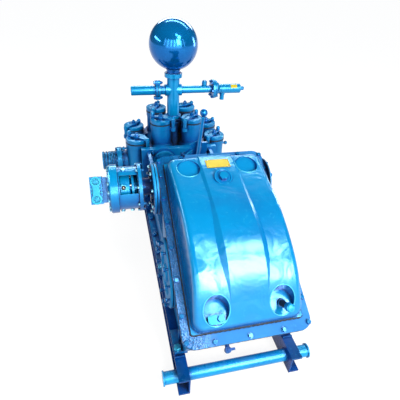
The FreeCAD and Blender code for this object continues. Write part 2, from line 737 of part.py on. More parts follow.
def fluid_end(turns):
    """Right casting: barrel, two inner and two outer valve pots, webs, ears and foot."""
    y0 = st(FLUID_START)
    y1 = st(FLUID_END)
    row_a, row_b = [st(row) for row in POT_ROWS]
    barrel = rod(vec(LINER_X, y0, LINER_Z), "Y", BARREL_R, y1 - y0)
    pieces = []
    for x, y, top, turn in pots(turns):
        low = LINER_Z if x == LINER_X else 150
        pieces.append(rod(vec(x, y, low), "Z", POT_R, top - low))
        pieces.append(rod(vec(x, y, top - 34), "Z", POT_R + 3, 34))
        pieces.append(pot_ear(x, y, top, turn))
    for y in (row_a, row_b):
        pieces.append(box(LINER_X, OUTER_POT_X, y - 52, y + 52, 240, POT_WEB_TOP))
    pieces.append(box(70, 150, row_a, row_b, 400, 520))
    pieces.append(box(250, 316, row_a, row_b, 190, 350))
    pieces.append(box(0, 262, y0, y0 + FRONT_PLATE_THICK, 214, FRONT_PLATE_TOP))
    pieces.append(box(60, 266, st(1530), st(1900), SKID_HEIGHT, 132))
    pieces.append(box(84, 236, st(1560), st(1890), 132, 270))
    return fuse(barrel, *pieces)


def valve_cap(x, y, top):
    """Valve cover: thick disc over a groove, with a sunk middle for the yoke screw."""
    points = [(0, 0), (0, CAP_R - 8), (6, CAP_R - 8), (6, CAP_R), (26, CAP_R), (30, CAP_R - 4), (30, 46),
              (24, 38), (24, 0)]
    return turned(points, "Z", vec(x, y, top))


def yoke(x, y, top, degrees, high):
    """Hinged clamp of a valve cover: a post on the pot's ear, a bar over the cover and a stop pin."""
    bar = box(-STOP_REACH, YOKE_REACH, -14, 14, 30, 42)
    post = [(-EAR_DROP, 0), (-EAR_DROP, POST_R), (12, POST_R), (16, POST_R + 2), (40, POST_R + 2),
            (46, POST_R - 4), (46, 0)]
    pin = [(30, 0), (30, 14), (high - 8, 14), (high, 8), (high, 0)]
    parts = [turned(post, "Z", vec(YOKE_REACH, 0, 0)), turned(pin, "Z", vec(-STOP_REACH, 0, 0)),
             rod(vec(0, 0, 24), "Z", 21, 22)]
    shape = fuse(bar, *parts)
    shape.rotate(vec(0, 0, 0), vec(0, 0, 1), degrees)
    shape.translate(vec(x, y, top))
    return shape


def valve_caps():
    return Part.makeCompound([valve_cap(x, y, top) for x, y, top, turn in pots(YOKE_TURNS_RIGHT)])


def valve_yokes(turns, casting):
    clamps = []
    for x, y, top, turn in pots(turns):
        high = PIN_TOPS[0] if y == st(POT_ROWS[0]) else PIN_TOPS[1]
        clamps.append(yoke(x, y, top, turn, high).cut(casting))
    return Part.makeCompound(clamps)


def cylinder_heads():
    """Far covers of the two barrels."""
    heads = []
    y1 = st(FLUID_END)
    for side in (-1, 1):
        points = [(y1, 0), (y1, 96), (y1 + 20, 96), (y1 + 24, 92), (y1 + 24, 60), (y1 + 34, 54), (y1 + 34, 0)]
        heads.append(turned(points, "Y", vec(side * LINER_X, 0, LINER_Z)))
    return Part.makeCompound(heads)


def side_cocks(castings):
    """Small cock on the outer side of each front suction pot."""
    cocks = []
    for side in (-1, 1):
        inner = OUTER_POT_X + POT_R - 12
        stem = rod(vec(side * inner, st(POT_ROWS[0]), COCK_Z), vec(side, 0, 0), 8, 48)
        nut = hexagon(26, 12, vec(min(side * (inner + 30), side * (inner + 42)), st(POT_ROWS[0]), COCK_Z), "X")
        cock = fuse(stem, nut)
        cocks.append(cock.cut(castings[0 if side < 0 else 1]))
    return Part.makeCompound(cocks)


def suction_crossover():
    """Pipe between the two castings' suction chests."""
    return rod(vec(-84, st(1725), 183), "X", 44, 168)


def suction_elbow(casting):
    """Short suction branch with its bolted flange, off the left casting."""
    y = st(SUCTION_Y)
    stub = rod(vec(SUCTION_FLANGE_X, y, SUCTION_Z), "X", 66, -SUCTION_FLANGE_X - 318)
    flange = rod(vec(SUCTION_FLANGE_X, y, SUCTION_Z), "X", 92, 16)
    return fuse(stub, flange).cut(casting)


def suction_nozzle():
    """Flanged suction nozzle with the two grooves of a clamped hose end."""
    x0 = SUCTION_END_X
    x1 = SUCTION_FLANGE_X
    bore = 54
    points = [(x0, bore), (x0, SUCTION_R)]
    for groove in (16, 34):
        points += [(x0 + groove, SUCTION_R), (x0 + groove, SUCTION_R - 5), (x0 + groove + 9, SUCTION_R - 5),
                   (x0 + groove + 9, SUCTION_R)]
    points += [(x1 - 16, SUCTION_R), (x1 - 16, 92), (x1, 92), (x1, 0), (x1 - 30, 0), (x1 - 30, bore)]
    return turned(points, "X", vec(0, st(SUCTION_Y), SUCTION_Z))


def discharge_manifold(castings):
    """Block between the inner pots that gathers the delivery, with a round stem and a pad for the riser."""
    body = box(-70, 70, st(RISER_Y - 44), st(RISER_Y + 44), 440, 530)
    pad = box(-62, 62, st(RISER_Y - 58), st(RISER_Y + 50), 520, MANIFOLD_TOP)
    stem = rod(vec(0, st(STEM_Y), STEM_LOW), "Z", STEM_R, 530 - STEM_LOW)
    return fuse(body, pad, stem.cut(castings[0]).cut(castings[1]))


def oval_flange(x0, x1, y, z, hub, reach):
    """Two-bolt flange across X with its bolts above and below the pipe."""
    middle = rod(vec(x0, y, z), "X", hub, x1 - x0)
    ends = []
    for side in (-1, 1):
        ends.append(rod(vec(x0, y, z + side * reach), "X", 16, x1 - x0))
    web = box(x0, x1, y - 16, y + 16, z - reach, z + reach)
    side_faces = fuse(middle, web, *ends)
    return side_faces


def riser():
    """Cross-shaped delivery riser: foot flange, column, and two arms with oval flanges."""
    y = st(RISER_Y)
    column = rod(vec(0, y, MANIFOLD_TOP), "Z", RISER_R, COLLAR_Z - 14 - MANIFOLD_TOP)
    foot = rod(vec(0, y, MANIFOLD_TOP), "Z", 56, 20)
    left = rod(vec(LEFT_JOINT_X, y, CROSS_Z), "X", LEFT_ARM_R, -LEFT_JOINT_X)
    right = rod(vec(0, y, CROSS_Z), "X", RIGHT_ARM_R, RIGHT_JOINT_X)
    belt = rod(vec(-RISER_R - 14, y, CROSS_Z), "X", 40, 2 * RISER_R + 28)
    left_end = oval_flange(LEFT_JOINT_X, LEFT_JOINT_X + 16, y, CROSS_Z, 46, 52)
    right_end = rod(vec(RIGHT_JOINT_X - 18, y, CROSS_Z), "X", RIGHT_FLANGE_R, 18)
    top = rod(vec(0, y, COLLAR_Z - 14), "Z", COLLAR_R, 14)
    return fuse(column, foot, left, right, belt, left_end, right_end, top)


def riser_collar():
    points = [(COLLAR_Z, 0), (COLLAR_Z, COLLAR_R), (COLLAR_Z + 14, COLLAR_R), (COLLAR_Z + 14, 0)]
    return turned(points, "Z", vec(0, st(RISER_Y), 0))


def air_vessel():
    """Spherical air vessel on its neck."""
    neck = rod(vec(0, st(RISER_Y), COLLAR_Z + 14), "Z", 46, 60)
    ball = Part.makeSphere(BALL_R, vec(0, st(RISER_Y), BALL_Z))
    return fuse(ball, neck)


def discharge_flange():
    return oval_flange(LEFT_JOINT_X - 16, LEFT_JOINT_X, st(RISER_Y), CROSS_Z, 46, 52)


def discharge_nozzle():
    """Plain delivery nozzle, open at its end."""
    x1 = LEFT_JOINT_X - 16
    x0 = DISCHARGE_END_X
    points = [(x0, DISCHARGE_R - 6), (x0, DISCHARGE_R), (x1, DISCHARGE_R), (x1, 0), (x1 - 40, 0),
              (x1 - 40, DISCHARGE_R - 6)]
    return turned(points, "X", vec(0, st(RISER_Y), CROSS_Z))


def relief_flange():
    """Round flange with a step and a rounded edge."""
    x = RIGHT_JOINT_X
    points = [(x, 0), (x, RELIEF_FLANGE_R), (x + 12, RELIEF_FLANGE_R), (x + 16, RELIEF_FLANGE_R - 4),
              (x + 16, 45), (x + 22, 42), (x + 22, 0)]
    return turned(points, "X", vec(0, st(RISER_Y), CROSS_Z))


def relief_valve():
    """Stepped safety valve body along X with its adjusting screw."""
    x = RIGHT_JOINT_X + 22
    points = [(x, 0), (x, 38), (x + 18, 31), (x + 28, 31), (x + 28, 33), (RELIEF_END_X - 4, 33), (RELIEF_END_X, 29),
              (RELIEF_END_X, 14), (RELIEF_END_X + 26, 14), (RELIEF_END_X + 30, 10), (RELIEF_END_X + 30, 0)]
    body = turned(points, "X", vec(0, st(RISER_Y), CROSS_Z))
    boss = rod(vec(SPOUT_X, st(RISER_Y), CROSS_Z - 40), "Z", 20, 30)
    return fuse(body, boss)


def relief_spout():
    """Short open spout under the safety valve."""
    z0 = CROSS_Z - SPOUT_DROP
    z1 = CROSS_Z - 40
    points = [(z0, SPOUT_R - 4), (z0, SPOUT_R), (z1, SPOUT_R), (z1, 0), (z1 - 8, 0), (z1 - 8, SPOUT_R - 4)]
    return turned(points, "Z", vec(SPOUT_X, st(RISER_Y), 0))


def gauge_plug(pipe):
    """Flared boss and six-sided plug on top of the right arm."""
    seat = CROSS_Z + RIGHT_ARM_R
    boss = turned([(CROSS_Z, 0), (CROSS_Z, 22), (seat - 2, 22), (seat + 6, 14), (seat + 6, 0)], "Z",
                  vec(GAUGE_X, st(RISER_Y), 0))
    plug = hexagon(32, 26, vec(GAUGE_X, st(RISER_Y), seat + 6))
    stub = rod(vec(GAUGE_X, st(RISER_Y), seat + 32), "Z", 11, 3)
    return fuse(boss, plug, stub).cut(pipe)


def drain_cock():
    """Cock low on the crankcase's near wall."""
    s = 16
    base = vec(DRAIN_X, s, DRAIN_N)
    stem = rod(base, vec(0, -1, 0), 9, 34)
    nut = hexagon(28, 10, vec(DRAIN_X, s - 12, DRAIN_N), "Y")
    body = rod(vec(DRAIN_X, s - 34, DRAIN_N), "Z", 12, 22)
    body.translate(vec(0, 0, -11))
    handle = box(DRAIN_X - 4, DRAIN_X + 26, s - 39, s - 29, DRAIN_N + 8, DRAIN_N + 14)
    return on_slope(fuse(stem, nut, body, handle))


def export(name, shape):
    solids = shape.Solids
    clean = solids[0] if len(solids) == 1 else Part.makeCompound(solids)
    clean.exportStep("parts/" + name + ".step")
    print(name, len(solids), "solid", round(shape.Volume / 1e6, 2), "litre", shape.isValid())


def main():
    os.makedirs("parts", exist_ok=True)
    right_skid = skid()
    export("skid_left", mirror_x(right_skid))
    export("skid_right", right_skid)
    export("tow_tube_near", tow_tube(NEAR_END + TOW_INSET))
    export("tow_tube_far", tow_tube(-NEAR_END - TOW_INSET))
    export("crankcase", crankcase())
    export("crankcase_cover", crankcase_cover())
    export("cover_plug", cover_plug())
    export("breather_cap", breather_cap())
    export("cover_hold_down", cover_hold_down())
    export("name_plate", name_plate())
    export("drain_cock", drain_cock())
    export("crank_cover_left", crank_cover(-1))
    export("crank_cover_right", crank_cover(1))
    export("pinion_cover_left", pinion_cover_left())
    export("pinion_cover_right", pinion_cover_right())
    export("drive_neck", drive_neck())
    export("bell_housing", bell_housing())
    export("drive_coupling", drive_coupling())
    export("motor_adaptor", motor_adaptor())
    export("hydraulic_motor", hydraulic_motor())
    export("motor_port_block", motor_port_block())
    export("crosshead_housing", crosshead_housing())
    export("crosshead_feet", crosshead_feet())
    export("frame_side_left", frame_side(-1))
    export("frame_side_right", frame_side(1))
    export("frame_floor", frame_floor())
    export("frame_feet", frame_feet())
    export("piston_rods", piston_rods())
    export("gland_flanges", gland_flanges())
    export("shift_bracket", shift_bracket())
    export("shift_lever", shift_lever())
    export("lever_knob", lever_knob())
    right_end = fluid_end(YOKE_TURNS_RIGHT)
    left_end = mirror_x(fluid_end(YOKE_TURNS_LEFT))
    export("fluid_end_left", left_end)
    export("fluid_end_right", right_end)
    export("valve_caps_left", mirror_x(valve_caps()))
    export("valve_caps_right", valve_caps())
    export("valve_yokes_left", mirror_x(valve_yokes(YOKE_TURNS_LEFT, mirror_x(left_end))))
    export("valve_yokes_right", valve_yokes(YOKE_TURNS_RIGHT, right_end))
    export("cylinder_heads", cylinder_heads())
    export("side_cocks", side_cocks((left_end, right_end)))
    export("suction_crossover", suction_crossover())
    export("suction_elbow", suction_elbow(left_end))
    export("suction_nozzle", suction_nozzle())
    export("discharge_manifold", discharge_manifold((left_end, right_end)))
    pipe = riser()
    export("riser", pipe)
    export("riser_collar", riser_collar())
    export("air_vessel", air_vessel())
    export("discharge_flange", discharge_flange())
    export("discharge_nozzle", discharge_nozzle())
    export("relief_flange", relief_flange())
    export("relief_valve", relief_valve())
    export("relief_spout", relief_spout())
    export("gauge_plug", gauge_plug(pipe))


if __name__ == "__main__":
    main()
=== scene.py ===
"""Dresses the duplex mud pump: finishes of castings and pipes, bolts, welds, seams and small fittings."""
import json
import math
from functools import cache

import bmesh
import bpy
from bpy.props import FloatProperty, FloatVectorProperty, IntProperty, PointerProperty
from mathutils import Matrix, Vector
from mathutils.bvhtree import BVHTree

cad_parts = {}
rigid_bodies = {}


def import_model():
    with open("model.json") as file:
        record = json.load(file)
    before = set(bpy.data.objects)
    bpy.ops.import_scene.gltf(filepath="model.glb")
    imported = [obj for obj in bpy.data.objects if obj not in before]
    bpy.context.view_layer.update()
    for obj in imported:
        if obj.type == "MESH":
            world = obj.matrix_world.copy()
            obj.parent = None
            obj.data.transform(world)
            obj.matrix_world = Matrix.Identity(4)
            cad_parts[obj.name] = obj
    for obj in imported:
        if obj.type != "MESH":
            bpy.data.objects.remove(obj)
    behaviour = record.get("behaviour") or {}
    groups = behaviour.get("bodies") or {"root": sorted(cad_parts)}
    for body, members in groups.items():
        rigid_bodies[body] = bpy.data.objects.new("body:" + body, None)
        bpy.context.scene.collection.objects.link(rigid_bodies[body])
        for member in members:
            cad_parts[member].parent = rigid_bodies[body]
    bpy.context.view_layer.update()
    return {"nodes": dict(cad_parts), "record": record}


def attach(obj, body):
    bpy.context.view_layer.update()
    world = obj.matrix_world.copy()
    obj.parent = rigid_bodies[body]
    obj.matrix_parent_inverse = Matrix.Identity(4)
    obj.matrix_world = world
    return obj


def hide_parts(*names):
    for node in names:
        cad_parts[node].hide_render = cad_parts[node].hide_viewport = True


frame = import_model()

bl_info = {
    "name": "Duplex Mud Pump Dressing",
    "version": (1, 0, 0),
    "blender": (4, 5, 0),
    "location": "View3D > Sidebar > Mud Pump",
    "description": "Finishes, fasteners, welds and fittings of a duplex mud pump on skids",
    "category": "Object",
}

MM = 0.001
PUMP, LEVER, COUPLING = "pump", "shift_lever", "drive_coupling"
BLUE, YELLOW = "blue_paint", "plate_yellow"
SIDES = (-1, 1)
NEAR, FAR, UP = (0, -1, 0), (0, 1, 0), (0, 0, 1)

# Places in millimetres. Those along the pump are measured from the near end of the skids. An axis that runs
# across the pump is given by its place along and its height.
NEAR_END = 980.0
SLOPE_DEG, SLOPE_START, SLOPE_Z = 29.46, -16.0, 324.0
RIM_HALF, RIM_LENGTH, RIM_CORNER = 261.0, 851.0, 50.0
CRANK, PINION, BEARING = (388.0, 330.0), (665.0, 624.0), (656.0, 612.0)
RISER_Y, CROSS_Z = 1735.0, 745.0
CROSS = (RISER_Y, CROSS_Z)
SUCTION = (1650.0, 268.0)
LINER_X, LINER_Z = 110.0, 330.0
POTS = ((110.0, 1602.0, 560.0), (110.0, 1848.0, 560.0), (283.0, 1602.0, 425.0), (283.0, 1848.0, 425.0))
MOTOR_TILT = 30.0
PORT_BLOCK_X, COUPLING_X = -534.0, -416.4
LEVER_PIVOT, LEVER_LEAN, LEVER_REACH = (10.7, 1000.0, 560.0), 5.3, 284.0
BALL_RADIUS, BALL_Z, NECK_RADIUS, NECK_Z = 162.0, 1044.0, 46.0, 864.0
KNOB_RADIUS, RECESS_RADIUS = 20.9, 51.6
BEARING_FACE = 268.0
SEARCH_FROM = 200.0   # height over the slope from which a skin is looked for

WASHER, WASHER_THICK = 1.25, 0.0016   # width by that of the head, and thickness in metres
FLOOR_LEVEL = -0.0006
LAMP_AIM, LAMP_AWAY = Vector((-0.05, -0.5, 0.6)), 4.0   # the point that lamps face, and their distance from it
LAMP_TINT, LAMP_ENERGY = (1.0, 0.97, 0.84), 4.0         # energy of one square metre at brightness 1
CAMERA_PLACE, CAMERA_LENS = (-0.43706, -1.75747, 1.50954), 32.335
CAMERA_AXES = ((0.97201, -0.23039, 0.04600), (0.09038, 0.54741, 0.83197), (-0.21685, -0.80452, 0.55291))

SLOT_FINISHES = {"plate_yellow": "plate_yellow", "cast_blue_paint": "azure_casting"}
NODE_FINISHES = {
    "azure_cover": "crankcase_cover",
    "azure_ball": "lever_knob air_vessel",
    "azure_drive": "bell_housing motor_adaptor hydraulic_motor shift_lever",
    "azure_coupling": "drive_coupling",
    "azure_port_block": "motor_port_block",
    "azure_pipes": "riser riser_collar discharge_nozzle relief_valve relief_spout gauge_plug tow_tube_near"
                   " tow_tube_far",
    "azure_shade": "crosshead_housing frame_floor frame_side_left frame_side_right shift_bracket",
    # The drive neck and the drain cock take the dark skid enamel as painted shade
    "azure_skids_and_shade": "skid_left skid_right frame_feet drive_neck drain_cock",
    "azure_matt": "crankcase pinion_cover_left crosshead_feet",
    "azure_flat": "crank_cover_left",
    "azure_caps": "valve_caps_left valve_caps_right valve_yokes_left valve_yokes_right",
    "ground_steel": "piston_rods",
}


def at(x, along, z):
    """Point in metres from X, the place along the skids and the height, in millimetres."""
    return Vector((x, along - NEAR_END, z)) * MM


def outward(degrees):
    """Direction at an angle round an axis along X, from the far side upward."""
    a = math.radians(degrees)
    return Vector((0, math.cos(a), math.sin(a)))


def around(centre, radius, degrees, x):
    """Point in metres at an angle round an axis along X."""
    return at(x, *centre) + outward(degrees) * radius * MM


def on_cover(x, along, over):
    """Point on the sloping cover in metres: X, along the slope and over the joint face."""
    return at(x, SLOPE_START, SLOPE_Z) + (outward(SLOPE_DEG) * along + SLOPE_NORMAL * over) * MM


def on_motor(x, depth, up):
    """Point on the motor in metres, from its own X, depth and height in millimetres."""
    return at(x, *PINION) + (outward(90 - MOTOR_TILT) * up - MOTOR_FACE * depth) * MM


SLOPE_NORMAL = outward(90 + SLOPE_DEG)
MOTOR_FACE = outward(180 - MOTOR_TILT)


# ---- settings


def length(label, text, default):
    return FloatProperty(name=label, description=text, default=default, min=0.0, unit="LENGTH",
                         subtype="DISTANCE")


def across(label, text, default):
    return length(label, "Across flats of the bolts " + text, default)


def colour(label, text, default):
    return FloatVectorProperty(name=label, description=text, default=default, size=3, min=0.0, max=1.0,
                               subtype="COLOR")


def share(label, text, default):
    return FloatProperty(name=label, description=text, default=default, min=0.0, max=1.0, subtype="FACTOR")


def level(label, text, default):
    return FloatProperty(name=label, description=text, default=default, min=0.0)


class MudPumpPaint(bpy.types.PropertyGroup):
    """Colours and gloss of the enamel, the plate and the bare metal"""
    azure: colour("Azure", "Enamel in plain light", (0.0, 0.265, 0.64))
    # Deep azure is both thick enamel and the colour of painted shade
    azure_thick_and_shade: colour("Deep azure", "Enamel where it lies thick, and the colour of painted shade in corners and on faces that look sideways or down", (0.0, 0.052, 0.31))
    # Pale azure is both enamel rubbed thin and the colour of painted highlights
    azure_pale_and_highlight: colour("Pale azure", "Enamel rubbed thin along edges, and the colour of painted highlights on edges and recess lips", (0.06, 0.50, 0.76))
    ball: colour("Ball", "Enamel of the air vessel and of the lever's knob", (0.0, 0.20, 0.60))
    turquoise: colour("Turquoise", "Fresh enamel on the fittings", (0.01, 0.31, 0.55))
    bright: colour("Bright bolts", "Thin enamel over the bright bolt heads", (0.30, 0.68, 0.85))
    plate: colour("Plate", "Bare yellow plate", (0.50, 0.40, 0.014))
    steel: colour("Steel", "Ground steel of the rods and pins", (0.62, 0.63, 0.64))
    # Soot is both the oily dark of seams and the near-black of painted shade
    soot_and_shade: colour("Soot", "Oily dark of the breather's neck and the seams, and the near-black of painted shade", (0.004, 0.008, 0.016))
    dust: colour("Dust", "Dry mud dust that settles low down", (0.10, 0.12, 0.15))
    gloss: share("Roughness", "Roughness of the smooth enamel", 0.13)
    cast_gloss: share("Cast roughness", "Roughness of the enamel on castings", 0.2)
    # Strength of the painted shade, near-black, in tight corners
    corner_shade_strength: share("Corner shade strength", "How dark the painted shade in tight corners is", 1.0)


class MudPumpBolts(bpy.types.PropertyGroup):
    """Sizes of the hexagon bolts"""
    small: across("Small bolts", "of the small flanges and the drive", 0.013)
    cover: across("Cover bolts", "round the cover's rim and the crank covers", 0.017)
    pipe: across("Pipe bolts", "of the pipe flanges", 0.022)
    large: across("Large bolts", "of the cylinder heads and the feet", 0.024)


class MudPumpWelds(bpy.types.PropertyGroup):
    """Sizes of the weld beads, ribs and seams"""
    bead: length("Bead", "Radius of a weld bead", 0.0034)
    ripple: length("Ripple", "Length of one ripple of a bead", 0.006)
    rib: length("Rib", "Radius of a rib on the suction nozzle", 0.0032)
    seam: length("Seam", "Radius from which the dark seams are sized", 0.0034)
    lip: length("Lip", "Radius of the rounded lip of a recess", 0.0024)


class MudPumpStudio(bpy.types.PropertyGroup):
    """Lamps, world and floor"""
    window: level("Windows", "Brightness of the large windows", 18.0)
    strip: level("Strips", "Brightness of the narrow lamps", 11.0)
    world: level("World", "Level of the light from above", 0.17)
    horizon: level("Horizon", "Level of the pale band along the horizon", 0.17)
    floor: length("Floor", "Side of the square floor", 70.0)
    seed: IntProperty(name="Seed", description="Seed of the bolts' small random turns", default=7)


class MudPumpSettings(bpy.types.PropertyGroup):
    """All settings of the dressing"""
    paint: PointerProperty(type=MudPumpPaint)
    bolts: PointerProperty(type=MudPumpBolts)
    welds: PointerProperty(type=MudPumpWelds)
    studio: PointerProperty(type=MudPumpStudio)


def settings():
    return bpy.context.scene.mud_pump


# ---- node building


class Net:
    """Adds nodes to a tree; an input may be a value or another node's socket."""

    def __init__(self, tree):
        self.tree = tree

    def link(self, source, target):
        self.tree.links.new(source, target)

    def fill(self, node, inputs):
        for key, value in inputs.items():
            if isinstance(value, bpy.types.NodeSocket):
                self.link(value, node.inputs[key])
            else:
                node.inputs[key].default_value = value
        return node

    def add(self, kind, inputs=None, **traits):
        node = self.tree.nodes.new(kind)
        for trait, value in traits.items():
            setattr(node, trait, value)
        return self.fill(node, inputs or {})

    def use(self, tree, **inputs):
        """Outputs of a node group."""
        return self.add("ShaderNodeGroup", inputs, node_tree=tree).outputs

    def close(self, made, **results):
        """Join the results to a group's output node and return the group."""
        self.fill(made, results)
        return self.tree

    def math(self, operation, first, second=0.0, clamp=False):
        node = self.add("ShaderNodeMath", {0: first, 1: second}, operation=operation, use_clamp=clamp)
        return node.outputs[0]

    def times(self, first, second, clamp=False):
        return self.math("MULTIPLY", first, second, clamp)

    def plus(self, first, second, clamp=False):
        return self.math("ADD", first, second, clamp)

    def minus(self, first, second):
        return self.math("SUBTRACT", first, second)

    def vector(self, operation, first, second, output):
        node = self.add("ShaderNodeVectorMath", {0: first, 1: second}, operation=operation)
        return node.outputs[output]

    def part(self, vector, letter):
        return self.add("ShaderNodeSeparateXYZ", {0: vector}).outputs[letter]

    def normal(self):
        return self.add("ShaderNodeNewGeometry").outputs["Normal"]

    def mix(self, factor, first, second):
        return self.add("ShaderNodeMix", {0: factor, 6: first, 7: second}, data_type="RGBA").outputs[2]

    def ramp(self, value, low, high):
        """0 at low to 1 at high, smoothly."""
        node = self.add("ShaderNodeMapRange", {0: value, 1: low, 2: high}, interpolation_type="SMOOTHSTEP")
        return node.outputs[0]

    def noise(self, vector, scale, detail=3.0, rough=0.5):
        inputs = {"Vector": vector, "Scale": scale, "Detail": detail, "Roughness": rough}
        return self.add("ShaderNodeTexNoise", inputs).outputs["Fac"]

    def bump(self, strength, distance, height, normal):
        inputs = {"Strength": strength, "Distance": distance, "Height": height, "Normal": normal}
        return self.add("ShaderNodeBump", inputs).outputs[0]

    def rounded(self, radius):
        """Normal with the edges rounded by the radius, or the plain one where there is no radius."""
        if not radius:
            return self.normal()
        return self.add("ShaderNodeBevel", {"Radius": radius}, samples=4).outputs[0]

    def height_over(self, coords, origin, way):
        """Height over a plane in metres, from a point on it and its normal."""
        shift = self.vector("SUBTRACT", coords, tuple(origin), 0)
        return self.vector("DOT_PRODUCT", shift, tuple(way), "Value")


SOCKETS = {"Vector": "Vector", "Rounded": "Vector", "Base": "Color", "Thick": "Color", "Thin": "Color",
           "Color": "Color", "Geometry": "Geometry", "Seed": "Int", "Sides": "Int"}


def new_tree(name, inputs, outputs, kind="ShaderNodeTree"):
    """Node group from the labels of its sockets: returns its net, its inputs and its output node."""
    tree = bpy.data.node_groups.new(name, kind)
    for way, labels in (("INPUT", inputs), ("OUTPUT", outputs)):
        for label in labels.split(", "):
            socket = "NodeSocket" + SOCKETS.get(label, "Float")
            tree.interface.new_socket(label, in_out=way, socket_type=socket)
    net = Net(tree)
    return net, list(net.add("NodeGroupInput").outputs)[:-1], net.add("NodeGroupOutput")


@cache
def paint_tone():
    """Colour of sprayed enamel: cloudy patches, thick and thin places."""
    net, (place, base, thick, thin), made = new_tree("Paint Tone", "Vector, Base, Thick, Thin",
                                                     "Color, Cloud")
    cloud = net.noise(place, 4.0, 4.0, 0.55)
    body = net.mix(net.times(net.ramp(cloud, 0.36, 0.72), 0.34), base, thick)
    rubbed = net.times(net.ramp(net.noise(place, 60.0, 2.0, 0.6), 0.58, 0.8), 0.18)
    return net.close(made, Color=net.mix(rubbed, body, thin), Cloud=cloud)


@cache
def worn_edge_and_glint():
    """Mask of pale edges, rubbed thin and also standing in as a painted highlight, broken up so that they are
    uneven. Rounded is the normal of a rounded edge.
    """
    net, (place, rounded, spread), made = new_tree("Worn Edge And Glint", "Vector, Rounded, Spread", "Mask")
    along = net.vector("DOT_PRODUCT", rounded, net.normal(), "Value")
    edge = net.ramp(net.minus(1.0, along), 0.004, 0.10)
    patchy = net.ramp(net.noise(place, 34.0, 4.0, 0.65), 0.38, 0.68)
    return net.close(made, Mask=net.times(edge, net.times(patchy, spread), clamp=True))


@cache
def settled_dust():
    """Mask of dust on faces that look up, thicker low down."""
    net, (place, amount), made = new_tree("Settled Dust", "Vector, Amount", "Mask")
    up = net.ramp(net.part(net.normal(), "Z"), 0.55, 0.98)
    low = net.ramp(net.part(place, "Z"), 0.46, 0.05)
    patchy = net.ramp(net.noise(place, 13.0, 5.0, 0.62), 0.40, 0.70)
    return net.close(made, Mask=net.times(net.times(up, low), net.times(patchy, amount)))


@cache
def cast_skin():
    """Height of a casting's sandy skin under the paint, with shallow dents."""
    net, (place, grain, depth), made = new_tree("Cast Skin", "Vector, Grain, Depth", "Height")
    sand = net.times(net.noise(place, grain, 3.0, 0.6), 0.55)
    dents = net.times(net.noise(place, 26.0, 2.0, 0.45), 0.45)
    return net.close(made, Height=net.times(net.plus(sand, dents), depth))


@cache
def painted_side_shade():
    """Mask of painted shade that darkens faces which look sideways or down."""
    net, (place, amount), made = new_tree("Painted Side Shade", "Vector, Amount", "Mask")
    uneven = net.times(net.minus(net.noise(place, 9.0, 4.0, 0.6), 0.5), 0.5)
    side = net.ramp(net.plus(net.part(net.normal(), "Z"), uneven), 0.62, -0.25)
    return net.close(made, Mask=net.times(side, amount))


@cache
def corner_shade():
    """Masks of places that lie in a corner or under a ledge, where shade is painted in: a wide one and a tight
    one.
    """
    net, (place, reach), made = new_tree("Corner Shade", "Vector, Reach", "Wide, Tight")
    sky = net.add("ShaderNodeAmbientOcclusion", {"Distance": reach}, samples=6).outputs["AO"]
    uneven = net.times(net.minus(net.noise(place, 40.0, 4.0, 0.6), 0.5), 0.35)
    seen = net.plus(sky, uneven)
    return net.close(made, Wide=net.ramp(seen, 0.93, 0.48), Tight=net.ramp(seen, 0.56, 0.20))


# ---- finishes

MATERIALS = {}


def rgba(value):
    return (*value, 1.0)


def start_material(name):
    """New material: returns its net, its shader and the object's coordinates."""
    made = MATERIALS[name] = bpy.data.materials.new(name)
    made.use_nodes = True
    made.node_tree.nodes.clear()
    net = Net(made.node_tree)
    shader = net.add("ShaderNodeBsdfPrincipled")
    net.add("ShaderNodeOutputMaterial", {"Surface": shader.outputs[0]})
    return net, shader, net.add("ShaderNodeTexCoord").outputs["Object"]


def enamel(name, rough, tint=None, grain=210.0, depth=0.3, bump=0.3, wear_and_glint=1.0, dust=0.3, round_off=0.0022,
           reach=0.05, rim=False, waves=0.0, side_shade=0.0, ior=1.5, flake=0.35, patch=None):
    """Enamel over steel or a casting. A patch is a plane and the colour of what stands proud of it."""
    paint = settings().paint
    deep, pale = rgba(paint.azure_thick_and_shade), rgba(paint.azure_pale_and_highlight)
    net, shader, coords = start_material(name)
    tone = net.use(paint_tone(), Vector=coords, Base=rgba(tint or paint.azure), Thick=deep, Thin=pale)
    shade = net.use(corner_shade(), Vector=coords, Reach=reach)
    base = net.rounded(round_off)
    edge = net.use(worn_edge_and_glint(), Vector=coords, Rounded=base, Spread=wear_and_glint)["Mask"]
    dusty = net.use(settled_dust(), Vector=coords, Amount=dust)["Mask"]
    # Painted shade: faces that look sideways or down are mixed toward deep azure
    body = net.mix(net.use(painted_side_shade(), Vector=coords, Amount=side_shade)["Mask"], tone["Color"], deep)
    if patch:
        place, way, fresh = patch
        body = net.mix(net.ramp(net.height_over(coords, place, way), 0.0006, 0.0016), body, rgba(fresh))
    # Pale edges: partly enamel rubbed thin, partly a painted highlight
    body = net.mix(edge, body, pale)
    # Painted shade: corners and places under ledges go toward deep azure, tight corners toward near-black
    body = net.mix(net.times(shade["Wide"], 0.95), body, deep)
    body = net.mix(net.times(shade["Tight"], paint.corner_shade_strength), body, rgba(paint.soot_and_shade))
    body = net.mix(dusty, body, rgba(paint.dust))
    skin = net.use(cast_skin(), Vector=coords, Grain=grain, Depth=depth)["Height"]
    height = net.plus(skin, net.times(net.noise(coords, 420.0, 1.0), 0.05))
    ground = net.plus(rough, net.times(net.ramp(tone["Cloud"], 0.3, 0.75), 0.08))
    if waves:
        swell = net.add("ShaderNodeTexNoise", {"Vector": coords, "Scale": 11.0, "Detail": 2.5,
                                               "Distortion": 0.6}).outputs["Fac"]
        base = net.bump(waves, 0.004, swell, base)
    if rim:
        body, ground, base = hammered_rim(net, coords, body, ground, base)
    ground = net.plus(ground, net.times(dusty, 0.5))
    ground = net.plus(ground, net.times(shade["Tight"], 0.3), clamp=True)
    net.fill(shader, {"Base Color": body, "Roughness": ground, "Metallic": flake, "IOR": ior,
                      "Normal": net.bump(bump, 0.001, height, base)})


